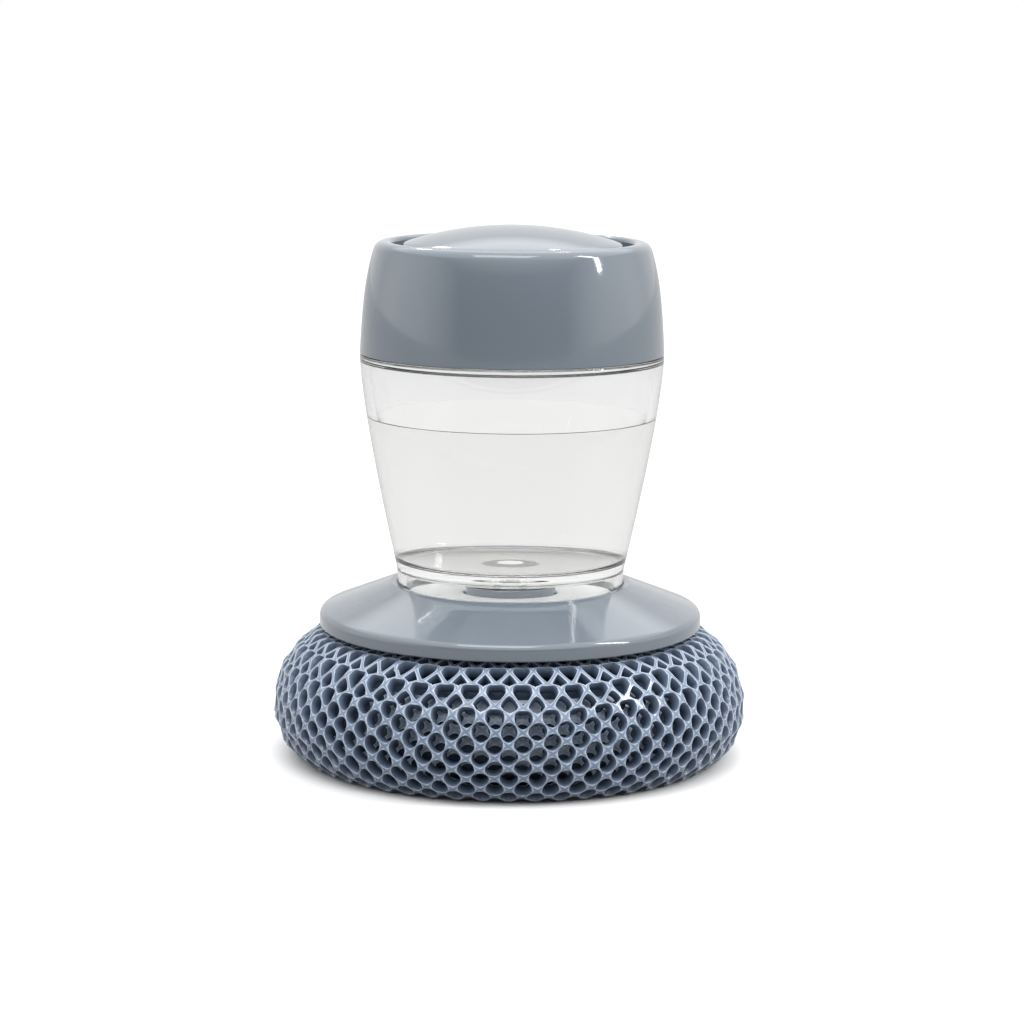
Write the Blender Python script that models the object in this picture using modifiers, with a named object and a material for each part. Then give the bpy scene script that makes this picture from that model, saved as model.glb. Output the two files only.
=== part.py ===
# Soap dispensing palm brush: a press button and cap, a clear soap reservoir, a base flange and a
# screw-on scrubbing head that is covered in stretched net.
# Metres, +Z up. The origin is the centre of the pad's flat underside, on the axis of every piece.

import math

import bmesh
import bpy
from mathutils import Matrix, Vector
from mathutils.geometry import interpolate_bezier

# Clearances
FIT_GAP = 0.0003
RUN_GAP = 0.00035

# Scrubbing pad
PAD_RADIUS = 0.0420
PAD_WIDEST_Z = 0.0086
PAD_HEIGHT = 0.0242
PAD_FLAT_RADIUS = 0.0370
PAD_RIM_GAP = 0.00045
NET_THICKNESS = 0.0022
NET_RIM_THICKNESS = 0.0016
NET_PIT_DEPTH = 0.0017
NET_CELLS_AROUND = 54
NET_CELL_HEIGHT = 0.0039
NET_EVEN_RADIUS = 0.0330
NET_GATHERED_ROWS = 2
INNER_NET_THICKNESS = 0.0009
DIMPLE_RADIUS = 0.0058
DIMPLE_DEPTH = 0.0016
STUB_RADIUS = 0.0024
TIE_WIRE_RADIUS = 0.00045

# Head carrier and the ring that clamps the net to it
CARRIER_THICKNESS = 0.0015
CLAMP_THICKNESS = 0.0013
CLAMP_RISE = 0.0010
HUB_WALL = 0.0018
HUB_FLOOR = 0.0016
PORT_RADIUS = 0.0030
SEAL_THICKNESS = 0.0011

# Base flange, its socket plate and the plate's screws
SKIRT_OVERLAP = 0.0010
FLANGE_OVERHANG = 0.01396
FLANGE_WALL = 0.0020
FLANGE_SIDE = 0.0027
FLANGE_EDGE_FILLET = 0.0018
DECK_THICKNESS = 0.0019
RECESS_DEPTH = 0.0016
LIP_WIDTH = 0.0009
BOSS_RADIUS = 0.0080
BOSS_HEIGHT = 0.0019
FLANGE_RIBS = 12
RIB_THICKNESS = 0.0010
RIB_CLEARANCE = 0.0007
PLATE_THICKNESS = 0.0016
SOCKET_DEPTH = 0.0081
SOCKET_WALL = 0.0018
SCREWS = 4
SCREW_RADIUS = 0.0008
SCREW_HEAD_RADIUS = 0.0017
SCREW_LENGTH = 0.0034
SCREW_INSET = 0.0022
PLATE_MARGIN = 0.0024

# Reservoir with its outlet nozzle
FOOT_RADIUS = 0.0200
FOOT_FLARE = 0.00024
FOOT_WALL = 0.0016
FOOT_HEIGHT = 0.0039
FLOOR_THICKNESS = 0.0016
RESERVOIR_HEIGHT = 0.04185
RESERVOIR_WALL = 0.0017
NECK_HEIGHT = 0.00625
NECK_WALL = 0.0018
NECK_TAPER = 0.0020
FLOOR_FILLET = 0.0018
NOZZLE_RADIUS = 0.0045
NOZZLE_BORE = 0.00195
NOZZLE_LENGTH = 0.0135
NUT_WIDTH = 0.0045
NUT_HEIGHT = 0.0026
NUT_MARGIN = 0.0005
VALVE_FLANGE = 0.0013
VALVE_DOME = 0.0014
VALVE_SKIN = 0.0008
RETAINER_LIP = 0.0011
RETAINER_WALL = 0.0013
RETAINER_SLEEVE = 0.0042

# Cap, pump and button
BUTTON_RADIUS = 0.0193
BUTTON_CROWN = 0.0032
BUTTON_EDGE_DROP = 0.0004
BUTTON_WALL = 0.0016
BUTTON_FILLET = 0.0006
BUTTON_FOOT_WIDTH = 0.0016
BUTTON_FOOT_HEIGHT = 0.0012
BUTTON_TRAVEL = 0.0035
BUTTON_GUSSETS = 8
GUSSET_DEPTH = 0.0010
PRESS_STUD_RADIUS = 0.0035
PRESS_STUD_LENGTH = 0.0014
PRESS_CLEARANCE = 0.0004
WELL_GAP = 0.0020
WELL_DEPTH = 0.0033
RIM_WIDTH = 0.00275
RIM_OUTER_FILLET = 0.0016
RIM_INNER_FILLET = 0.0007
RIM_CORNER_HEIGHT = 0.0021
CAP_FLARE = 0.00279
CAP_WALL = 0.0021
CHAMBER_STEP = 0.00085
LEDGE_THICKNESS = 0.0014
GASKET_THICKNESS = 0.0013
PUMP_PLATE_THICKNESS = 0.0016
PLUG_DEPTH = 0.0031
PLUG_WALL = 0.0016
AIR_PORTS = 6
AIR_PORT_RADIUS = 0.0008
AIR_PORT_CIRCLE = 0.0042
AIR_VALVE_RADIUS = 0.0058
AIR_VALVE_STEM = 0.0010
AIR_VALVE_THICKNESS = 0.0006
AIR_VALVE_BULB = 0.0017
BELLOWS_FOLD_COUNT = 2
BELLOWS_FOLD_DEPTH = 0.0026
BELLOWS_WALL = 0.0008
BELLOWS_FLANGE = 0.0032
BELLOWS_FLANGE_THICKNESS = 0.0010
BELLOWS_RING_THICKNESS = 0.0010
RIDGE_WIDTH = 0.0009
RIDGE_HEIGHT = 0.0012
SPRING_WIRE_RADIUS = 0.00045
SPRING_GAP = 0.0004
SPRING_TURNS = 4

# Facets: steps round the axis, segments of a fillet and points of one side curve
LARGE_STEPS = 36
MIDDLE_STEPS = 24
SMALL_STEPS = 20
TINY_STEPS = 12
SCREW_STEPS = 8
FILLET_SEGMENTS = 3
EDGE_BREAK = 0.0003
SIDE_POINTS = 6
PAD_POINTS = 17
LAYER_POINTS = 3
COIL_POINTS = 10
SMOOTH_ANGLE = math.radians(35)

# Shape factors of the side curves: handle lengths as shares of the stretch they span
PAD_UPPER_HANDLES = (0.52, 0.58)
PAD_LOWER_HANDLES = (0.41, 0.37)
PAD_TOP_SLOPE = (0.945, -0.326)
RESERVOIR_HANDLES = (0.14, 0.27)
RESERVOIR_SLOPES = (0.231, 0.037)
CAP_HANDLES = (0.44, 0.28)
CAP_SLOPES = (-0.053, -0.285)

# Radii that follow from the ones above
well_radius = BUTTON_RADIUS + WELL_GAP
rim_radius = well_radius + RIM_WIDTH
cap_radius = rim_radius + CAP_FLARE
skirt_radius = cap_radius - CAP_WALL
neck_radius = skirt_radius - RUN_GAP
neck_bore = neck_radius - NECK_WALL
chamber_radius = skirt_radius - CHAMBER_STEP
guide_radius = BUTTON_RADIUS + RUN_GAP
button_bore = BUTTON_RADIUS - BUTTON_WALL
recess_radius = FOOT_RADIUS + RUN_GAP
flange_radius = FOOT_RADIUS + FLANGE_OVERHANG
flange_inner = flange_radius - FLANGE_WALL
screw_circle = FOOT_RADIUS + SCREW_INSET
plate_radius = screw_circle + PLATE_MARGIN
carrier_radius = plate_radius
hub_hole = NOZZLE_RADIUS + RUN_GAP
nut_radius = NOZZLE_RADIUS + NUT_WIDTH
socket_inner = nut_radius + NUT_MARGIN
socket_outer = socket_inner + SOCKET_WALL
carrier_bore = socket_outer + RUN_GAP
hub_outer = carrier_bore + HUB_WALL
collar_fit = hub_outer + FIT_GAP
valve_radius = NOZZLE_RADIUS - FIT_GAP
gusset_inner = button_bore - GUSSET_DEPTH
coil_radius = gusset_inner - SPRING_GAP - SPRING_WIRE_RADIUS
ridge_outer = coil_radius * math.cos(math.pi / COIL_POINTS) - SPRING_WIRE_RADIUS - SPRING_GAP
ridge_radius = ridge_outer - RIDGE_WIDTH
bellows_base = ridge_radius - FIT_GAP
bellows_radius = bellows_base - BELLOWS_FLANGE

# Levels of the head, from the floor up
flange_bottom = PAD_HEIGHT - SKIRT_OVERLAP
head_top = PAD_HEIGHT + CLAMP_RISE
clamp_bottom = head_top - CLAMP_THICKNESS
net_rim_top = clamp_bottom - FIT_GAP
net_rim_bottom = net_rim_top - NET_RIM_THICKNESS
carrier_top = net_rim_bottom - FIT_GAP
carrier_bottom = carrier_top - CARRIER_THICKNESS

# Levels of the base and the reservoir
plate_bottom = head_top + FIT_GAP
plate_top = plate_bottom + PLATE_THICKNESS
deck_bottom = plate_top + FIT_GAP
deck_top = deck_bottom + DECK_THICKNESS
collar_top = deck_top + RECESS_DEPTH
flange_shoulder = flange_bottom + FLANGE_SIDE
foot_bottom = deck_top + FIT_GAP
floor_bottom = foot_bottom + FOOT_HEIGHT
floor_top = floor_bottom + FLOOR_THICKNESS
shoulder = foot_bottom + RESERVOIR_HEIGHT
neck_top = shoulder + NECK_HEIGHT
nozzle_bottom = floor_bottom - NOZZLE_LENGTH
valve_top = nozzle_bottom - FIT_GAP
valve_bottom = valve_top - VALVE_FLANGE
retainer_bottom = valve_bottom - FIT_GAP - RETAINER_LIP
seal_top = retainer_bottom - FIT_GAP
hub_floor_top = seal_top - SEAL_THICKNESS - FIT_GAP
hub_bottom = hub_floor_top - HUB_FLOOR

# Levels of the cap and the button
cap_bottom = shoulder + FIT_GAP
gasket_bottom = neck_top + FIT_GAP
gasket_top = gasket_bottom + GASKET_THICKNESS
pump_bottom = gasket_top + FIT_GAP
pump_top = pump_bottom + PUMP_PLATE_THICKNESS
button_foot_bottom = pump_top + PRESS_CLEARANCE + BUTTON_TRAVEL
button_foot_top = button_foot_bottom + BUTTON_FOOT_HEIGHT
ledge_bottom = button_foot_top + FIT_GAP
ledge_top = ledge_bottom + LEDGE_THICKNESS
rim_top = ledge_top + WELL_DEPTH
button_edge = rim_top - BUTTON_EDGE_DROP
button_crown = button_edge + BUTTON_CROWN

# Materials: colour, roughness, metallic and transmission
FINISHES = {
    "grey_plastic": ((0.27, 0.31, 0.35), 0.22, 0.0, 0.0),
    "clear_plastic": ((0.93, 0.94, 0.93), 0.05, 0.0, 0.9),
    "white_plastic": ((0.80, 0.81, 0.80), 0.35, 0.0, 0.0),
    "silicone": ((0.72, 0.74, 0.74), 0.45, 0.0, 0.0),
    "steel": ((0.62, 0.62, 0.60), 0.25, 1.0, 0.0),
    "blue_net": ((0.22, 0.33, 0.45), 0.25, 0.0, 0.0),
    "inner_net": ((0.12, 0.19, 0.28), 0.30, 0.0, 0.0),
    "foam": ((0.09, 0.13, 0.18), 0.90, 0.0, 0.0),
}


# Scene and object helpers


def clear_scene():
    for obj in list(bpy.data.objects):
        bpy.data.objects.remove(obj, do_unlink=True)


def make_collection(name):
    collection = bpy.data.collections.new(name)
    bpy.context.scene.collection.children.link(collection)
    return collection


def make_material(name):
    colour, roughness, metallic, transmission = FINISHES[name]
    material = bpy.data.materials.new(name)
    material.use_nodes = True
    shader = material.node_tree.nodes["Principled BSDF"]
    shader.inputs["Base Color"].default_value = (*colour, 1.0)
    shader.inputs["Roughness"].default_value = roughness
    shader.inputs["Metallic"].default_value = metallic
    shader.inputs["Transmission Weight"].default_value = transmission
    return material


def add_part(name, data, finish):
    obj = bpy.data.objects.new(name, data)
    parts.objects.link(obj)
    obj.data.materials.append(make_material(finish))
    obj.data.materials[0].name = name + "_" + finish
    return obj


def add_helper(name, mesh):
    helper = bpy.data.objects.new(name, mesh)
    cutters.objects.link(helper)
    helper.hide_render = True
    helper.display_type = "WIRE"
    return helper


def combine(obj, helper, operation):
    modifier = obj.modifiers.new(helper.name, "BOOLEAN")
    modifier.operation = operation
    modifier.object = helper
    modifier.solver = "EXACT"


def make_axis(name, level, pieces):
    """An empty on the joint's axis that carries the pieces which move on it."""
    axis = bpy.data.objects.new(name, None)
    axis.location.z = level
    axis.empty_display_size = BUTTON_RADIUS
    parts.objects.link(axis)
    for piece in pieces:
        piece.parent = axis
        piece.matrix_parent_inverse = Matrix.Translation((0, 0, -level))
    return axis


# Profiles: lists of (radius, height), running down the outer side


def rounded(corners):
    """The closed outline through corners (radius, height, fillet), with an arc at each fillet.
    A fillet no larger than EDGE_BREAK becomes one flat facet."""
    points = []
    for i, (radius, height, fillet) in enumerate(corners):
        here = Vector((radius, height))
        if fillet == 0:
            points.append(here)
            continue
        back = Vector(corners[i - 1][:2]) - here
        ahead = Vector(corners[(i + 1) % len(corners)][:2]) - here
        half = back.angle(ahead) / 2
        reach = min(fillet / math.tan(half), back.length * 0.45, ahead.length * 0.45)
        arc_radius = reach * math.tan(half)
        inward = (back.normalized() + ahead.normalized()).normalized()
        centre = here + inward * (arc_radius / math.sin(half))
        start = here + back.normalized() * reach - centre
        end = here + ahead.normalized() * reach - centre
        first = math.atan2(start.y, start.x)
        sweep = (math.atan2(end.y, end.x) - first + math.pi) % math.tau - math.pi
        segments = FILLET_SEGMENTS if fillet > EDGE_BREAK else 1
        for k in range(segments + 1):
            angle = first + sweep * k / segments
            points.append(centre + Vector((math.cos(angle), math.sin(angle))) * arc_radius)
    return points


def side_curve(start, start_handle, end_handle, end, count=SIDE_POINTS):
    """A cubic curve between two (radius, height) points, given with handles as offsets."""
    first, last = Vector(start), Vector(end)
    return interpolate_bezier(first, first + Vector(start_handle), last + Vector(end_handle), last, count)


def inset(points, distance):
    """The points moved in square to their curve, away from its outer side."""
    moved = []
    for i, point in enumerate(points):
        along = (points[min(i + 1, len(points) - 1)] - points[max(i - 1, 0)]).normalized()
        moved.append(point + Vector((along.y, -along.x)) * distance)
    return moved


def even_steps(points, step):
    """The curve through the points again, in equal steps of about the given length."""
    lengths = [0.0]
    for a, b in zip(points, points[1:]):
        lengths.append(lengths[-1] + (b - a).length)
    count = round(lengths[-1] / step)
    even = []
    for k in range(count + 1):
        target = lengths[-1] * k / count
        i = min(max(j for j in range(len(points)) if lengths[j] <= target + 1e-12), len(points) - 2)
        share = (target - lengths[i]) / (lengths[i + 1] - lengths[i])
        even.append(points[i].lerp(points[i + 1], share))
    return even


def below(points, level):
    """The part of a falling curve that lies under a level, starting on it."""
    first = next(i for i, point in enumerate(points) if point.y < level)
    above, under = points[first - 1], points[first]
    return [above.lerp(under, (above.y - level) / (above.y - under.y)), *points[first:]]


def dome_sag(radius):
    """How far the button's crown has dropped at this radius."""
    sphere = (BUTTON_RADIUS**2 + BUTTON_CROWN**2) / (2 * BUTTON_CROWN)
    return sphere - math.sqrt(sphere**2 - radius**2)


# Solids


def clean(mesh):
    """Welds the mesh, turns its faces out and shades it smooth but for its sharp edges."""
    bm = bmesh.new()
    bm.from_mesh(mesh)
    bmesh.ops.remove_doubles(bm, verts=bm.verts, dist=1e-6)
    bmesh.ops.recalc_face_normals(bm, faces=bm.faces)
    bm.to_mesh(mesh)
    bm.free()
    mesh.shade_smooth()
    mesh.set_sharp_from_angle(angle=SMOOTH_ANGLE)


def evaluated_mesh(obj):
    bpy.context.view_layer.update()
    graph = bpy.context.evaluated_depsgraph_get()
    return bpy.data.meshes.new_from_object(obj.evaluated_get(graph))


def turned_mesh(name, profile, steps):
    """A profile spun round the Z axis. One that starts and ends on the axis stays open there."""
    outline = bpy.data.meshes.new(name)
    edges = [(i, i + 1) for i in range(len(profile) - 1)]
    if profile[0][0] > 0:
        edges.append((len(profile) - 1, 0))
    outline.from_pydata([(r, 0, z) for r, z in profile], edges, [])
    obj = bpy.data.objects.new(name, outline)
    bpy.context.scene.collection.objects.link(obj)
    screw = obj.modifiers.new("Turn", "SCREW")
    screw.axis = "Z"
    screw.steps = steps
    screw.render_steps = steps
    screw.use_merge_vertices = True
    screw.merge_threshold = 1e-6
    mesh = evaluated_mesh(obj)
    mesh.name = name
    bpy.data.objects.remove(obj, do_unlink=True)
    bpy.data.meshes.remove(outline)
    clean(mesh)
    return mesh


def turned(name, profile, steps, finish):
    return add_part(name, turned_mesh(name, profile, steps), finish)


def ring(name, inner, outer, bottom, top, steps, finish):
    profile = [(outer, top), (outer, bottom), (inner, bottom), (inner, top)]
    return turned(name, profile, steps, finish)


def round_pattern(name, count, circle, radius_bottom, radius_top, bottom, top, steps):
    """Cones or cylinders on a circle round the axis, in one mesh."""
    bm = bmesh.new()
    for k in range(count):
        turn = Matrix.Rotation(math.tau * k / count, 4, "Z")
        bmesh.ops.create_cone(
            bm,
            cap_ends=True,
            segments=steps,
            radius1=radius_bottom,
            radius2=radius_top,
            depth=top - bottom,
            matrix=turn @ Matrix.Translation((circle, 0, (bottom + top) / 2)),
        )
    mesh = bpy.data.meshes.new(name)
    bm.to_mesh(mesh)
    bm.free()
    return mesh


def spoke_pattern(name, count, inner, outer, thickness, bottom, top_at):
    """Radial ribs round the axis, in one mesh, whose tops follow a height at each radius."""
    bm = bmesh.new()
    size = Matrix.Diagonal((outer - inner, thickness, FIT_GAP, 1))
    for k in range(count):
        turn = Matrix.Rotation(math.tau * (k + 0.5) / count, 4, "Z")
        place = Matrix.Translation(((inner + outer) / 2, 0, bottom + FIT_GAP / 2))
        bmesh.ops.create_cube(bm, size=1, matrix=turn @ place @ size)
    for vert in bm.verts:
        if vert.co.z > bottom + FIT_GAP / 2:
            vert.co.z = top_at(vert.co.xy.length)
    mesh = bpy.data.meshes.new(name)
    bm.to_mesh(mesh)
    bm.free()
    return mesh


# Scrubbing head


def pad_side(count):
    """The pad's side, from under the flange's edge down to its flat underside."""
    tuck = (flange_inner - PAD_RIM_GAP, flange_bottom)
    widest = (PAD_RADIUS, PAD_WIDEST_Z)
    flat = (PAD_FLAT_RADIUS, 0)
    top_handle = Vector(PAD_TOP_SLOPE) * (PAD_UPPER_HANDLES[1] * (PAD_RADIUS - tuck[0]))
    rise = (0, PAD_UPPER_HANDLES[0] * (flange_bottom - PAD_WIDEST_Z))
    fall = (0, -PAD_LOWER_HANDLES[0] * PAD_WIDEST_Z)
    flat_handle = (PAD_LOWER_HANDLES[1] * (PAD_RADIUS - PAD_FLAT_RADIUS), 0)
    upper = side_curve(tuck, top_handle, rise, widest, count)
    lower = side_curve(widest, fall, flat_handle, flat, count)
    return upper + lower[1:]


def layer_side(depth):
    """The pad's side again, at a depth under its surface."""
    return inset(pad_side(LAYER_POINTS), depth)


def gathered_rows():
    """The rows of cells on the underside. Its columns close up inwards, and the yarn keeps its
    length, so each cell there is narrower and longer than the one before it."""
    yarn = math.hypot(math.pi * PAD_RADIUS / NET_CELLS_AROUND, NET_CELL_HEIGHT / 2)
    rows = [Vector((NET_EVEN_RADIUS, 0))]
    for _ in range(NET_GATHERED_ROWS):
        half_width = math.pi * rows[-1].x / NET_CELLS_AROUND
        rows.append(rows[-1] - Vector((2 * math.sqrt(yarn**2 - half_width**2), 0)))
    return rows


def sink_cells(mesh, inner_radius, depth):
    """Turns the outer quads down to a radius into staggered diamond cells, each sunk in its middle."""
    middle = Vector((0, 0, PAD_WIDEST_Z))

    def is_patterned(face):
        at = face.calc_center_median()
        is_outside = face.normal.dot(at - middle) > 0
        return is_outside and at.z < flange_bottom and at.xy.length > inner_radius

    bm = bmesh.new()
    bm.from_mesh(mesh)
    quads = {face for face in bm.faces if is_patterned(face)}
    shared = [edge for edge in bm.edges if all(face in quads for face in edge.link_faces)]
    bmesh.ops.poke(bm, faces=list(quads))
    bmesh.ops.dissolve_edges(bm, edges=shared, use_verts=False)
    diamonds = [face for face in bm.faces if len(face.verts) == 4 and is_patterned(face)]
    bmesh.ops.poke(bm, faces=diamonds, offset=-depth)
    bm.to_mesh(mesh)
    bm.free()
    mesh.shade_smooth()
    mesh.set_sharp_from_angle(angle=SMOOTH_ANGLE)
    print("net cells:", len(diamonds))


def make_scrub_net():
    """The stretched net: cells outside, its top edge under the clamp, its end gathered below."""
    underside = gathered_rows()
    patterned = even_steps([*pad_side(PAD_POINTS), underside[0]], NET_CELL_HEIGHT)
    gather_top = DIMPLE_DEPTH + NET_RIM_THICKNESS / 2
    profile = [
        (collar_fit, net_rim_top),
        (carrier_radius, net_rim_top),
        *patterned,
        *underside[1:],
        (DIMPLE_RADIUS, 0),
        (DIMPLE_RADIUS - NET_RIM_THICKNESS / 2, DIMPLE_DEPTH),
        (STUB_RADIUS, DIMPLE_DEPTH),
        (STUB_RADIUS, FIT_GAP),
        (STUB_RADIUS / 2, FIT_GAP),
        (STUB_RADIUS / 2, gather_top),
        (DIMPLE_RADIUS, gather_top),
        *reversed(layer_side(NET_THICKNESS)),
        (carrier_radius, net_rim_bottom),
        (collar_fit, net_rim_bottom),
    ]
    mesh = turned_mesh("scrub_net", profile, NET_CELLS_AROUND)
    sink_cells(mesh, underside[-1].x, NET_PIT_DEPTH)
    return add_part("scrub_net", mesh, "blue_net")


def make_inner_net():
    """The second layer of net, trapped between the outer one and the foam."""
    depth = NET_THICKNESS + FIT_GAP
    mouth = carrier_radius + 2 * FIT_GAP
    edge_top = net_rim_bottom - FIT_GAP
    gather = DIMPLE_DEPTH + NET_RIM_THICKNESS / 2 + 2 * FIT_GAP
    profile = [
        (mouth, edge_top),
        *layer_side(depth),
        (DIMPLE_RADIUS, gather),
        (STUB_RADIUS, gather),
        (STUB_RADIUS, gather + INNER_NET_THICKNESS),
        (DIMPLE_RADIUS, gather + INNER_NET_THICKNESS),
        *reversed(layer_side(depth + INNER_NET_THICKNESS)),
        (mouth, edge_top - INNER_NET_THICKNESS),
    ]
    return turned("inner_net", profile, MIDDLE_STEPS, "inner_net")


def make_scrub_core():
    """The foam that fills the net, with a pocket for the carrier's hub and a way for the soap."""
    depth = NET_THICKNESS + INNER_NET_THICKNESS + 2 * FIT_GAP
    top = carrier_bottom - FIT_GAP
    pocket = hub_bottom - FIT_GAP
    gather = DIMPLE_DEPTH + NET_RIM_THICKNESS / 2 + INNER_NET_THICKNESS + 3 * FIT_GAP
    profile = [
        (collar_fit, top),
        *below(layer_side(depth), top),
        (DIMPLE_RADIUS, gather),
        (PORT_RADIUS, gather),
        (PORT_RADIUS, pocket),
        (collar_fit, pocket),
    ]
    return turned("scrub_core", profile, MIDDLE_STEPS, "foam")


def make_net_tie():
    """The ring that gathers the net's lower end, up in the dimple."""
    bm = bmesh.new()
    section = bmesh.ops.create_circle(bm, segments=6, radius=TIE_WIRE_RADIUS)["verts"]
    ring_radius = STUB_RADIUS + FIT_GAP + TIE_WIRE_RADIUS
    level = DIMPLE_DEPTH - FIT_GAP - TIE_WIRE_RADIUS
    place = Matrix.Translation((ring_radius, 0, level)) @ Matrix.Rotation(math.pi / 2, 4, "X")
    bmesh.ops.transform(bm, matrix=place, verts=section)
    bmesh.ops.spin(
        bm, geom=bm.edges[:] + section, axis=(0, 0, 1), angle=math.tau, steps=TINY_STEPS, use_merge=True
    )
    mesh = bpy.data.meshes.new("net_tie")
    bm.to_mesh(mesh)
    bm.free()
    clean(mesh)
    return add_part("net_tie", mesh, "white_plastic")


def make_head_carrier():
    """A disc that carries the net, with a cup-shaped hub that screws on the base's socket."""
    corners = [
        (hub_outer, head_top, 0),
        (hub_outer, carrier_top, 0),
        (carrier_radius, carrier_top, 0),
        (carrier_radius, carrier_bottom, 0),
        (hub_outer, carrier_bottom, 0),
        (hub_outer, hub_bottom, HUB_WALL / 2),
        (PORT_RADIUS, hub_bottom, 0),
        (PORT_RADIUS, hub_floor_top, 0),
        (carrier_bore, hub_floor_top, 0),
        (carrier_bore, head_top, 0),
    ]
    return turned("head_carrier", rounded(corners), MIDDLE_STEPS, "white_plastic")


def make_clamp_ring():
    """The ring that presses the net's top edge down on the carrier."""
    outer = carrier_radius
    return ring("clamp_ring", collar_fit, outer, clamp_bottom, head_top, MIDDLE_STEPS, "white_plastic")


def make_head_seal():
    """The ring in the hub's floor that meets the valve retainer."""
    mouth = valve_radius - RETAINER_LIP
    outer = NOZZLE_RADIUS + RUN_GAP + RETAINER_WALL
    return ring("head_seal", mouth, outer, seal_top - SEAL_THICKNESS, seal_top, SMALL_STEPS, "silicone")


# Base


def cone_height(radius):
    """Height of the flange's sloping top at this radius."""
    lip = recess_radius + LIP_WIDTH
    return collar_top - (collar_top - flange_shoulder) * (radius - lip) / (flange_radius - lip)


def make_base_flange():
    """The grey flange: a seat for the reservoir's foot, a sloping top, a short skirt and ribs."""
    slope = (cone_height(flange_inner) - cone_height(flange_radius)) / FLANGE_WALL
    wall_drop = FLANGE_WALL * math.sqrt(1 + slope**2)
    corners = [
        (recess_radius, collar_top, EDGE_BREAK),
        (recess_radius + LIP_WIDTH, collar_top, EDGE_BREAK),
        (flange_radius, flange_shoulder, FLANGE_EDGE_FILLET),
        (flange_radius, flange_bottom, EDGE_BREAK),
        (flange_inner, flange_bottom, 0),
        (flange_inner, cone_height(flange_inner) - wall_drop, 0),
        (plate_radius + FIT_GAP, deck_bottom, 0),
        (hub_hole, deck_bottom, 0),
        (hub_hole, deck_top + BOSS_HEIGHT, 0),
        (BOSS_RADIUS, deck_top + BOSS_HEIGHT, EDGE_BREAK),
        (BOSS_RADIUS, deck_top, 0),
        (recess_radius, deck_top, 0),
    ]
    flange = turned("base_flange", rounded(corners), LARGE_STEPS, "grey_plastic")

    def rib_top(radius):
        share = (radius - plate_radius) / (flange_inner - plate_radius)
        under = deck_bottom + (cone_height(flange_inner) - wall_drop - deck_bottom) * share
        return under + FLANGE_WALL / 2

    inner = plate_radius + 2 * FIT_GAP
    outer = flange_inner + FLANGE_WALL / 2
    rib_bottom = PAD_HEIGHT + RIB_CLEARANCE
    ribs = spoke_pattern("flange_ribs", FLANGE_RIBS, inner, outer, RIB_THICKNESS, rib_bottom, rib_top)
    combine(flange, add_helper("flange_ribs", ribs), "UNION")
    pilot_top = plate_bottom + SCREW_LENGTH + 2 * FIT_GAP
    pilot = SCREW_RADIUS + FIT_GAP
    holes = round_pattern(
        "screw_pilots", SCREWS, screw_circle, pilot, pilot, deck_bottom - FIT_GAP, pilot_top, SCREW_STEPS
    )
    combine(flange, add_helper("screw_pilots", holes), "DIFFERENCE")
    return flange


def make_socket_plate():
    """The plate under the flange whose tube the head screws on, with countersunk screw holes."""
    socket_bottom = plate_top - SOCKET_DEPTH
    corners = [
        (plate_radius, plate_top, 0),
        (plate_radius, plate_bottom, EDGE_BREAK),
        (socket_outer, plate_bottom, 0),
        (socket_outer, socket_bottom, SOCKET_WALL / 3),
        (socket_inner, socket_bottom, 0),
        (socket_inner, plate_top, 0),
    ]
    plate = turned("socket_plate", rounded(corners), MIDDLE_STEPS, "white_plastic")
    clear = SCREW_RADIUS + FIT_GAP
    head_clear = SCREW_HEAD_RADIUS + 2 * FIT_GAP
    under = plate_bottom - FIT_GAP
    sink_top = under + head_clear - clear
    holes = round_pattern(
        "plate_holes", SCREWS, screw_circle, clear, clear, under, plate_top + FIT_GAP, SCREW_STEPS
    )
    combine(plate, add_helper("plate_holes", holes), "DIFFERENCE")
    sinks = round_pattern(
        "plate_countersinks", SCREWS, screw_circle, head_clear, clear, under, sink_top, SCREW_STEPS
    )
    combine(plate, add_helper("plate_countersinks", sinks), "DIFFERENCE")
    return plate


def make_base_screws():
    """Countersunk screws up through the plate into the flange, all with one mesh."""
    head_height = SCREW_HEAD_RADIUS - SCREW_RADIUS
    profile = [
        (0, SCREW_LENGTH),
        (SCREW_RADIUS * 0.6, SCREW_LENGTH),
        (SCREW_RADIUS, SCREW_LENGTH - SCREW_RADIUS / 2),
        (SCREW_RADIUS, head_height),
        (SCREW_HEAD_RADIUS, 0),
        (0, 0),
    ]
    mesh = turned_mesh("base_screw", profile, SCREW_STEPS)
    screws = []
    for k in range(SCREWS):
        angle = math.tau * k / SCREWS
        screw = add_part(f"base_screw_{k + 1}", mesh, "steel") if k == 0 else screws[0].copy()
        if k > 0:
            screw.name = f"base_screw_{k + 1}"
            parts.objects.link(screw)
        screw.location = (screw_circle * math.cos(angle), screw_circle * math.sin(angle), plate_bottom)
        screws.append(screw)
    return screws


# Reservoir and outlet


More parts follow.
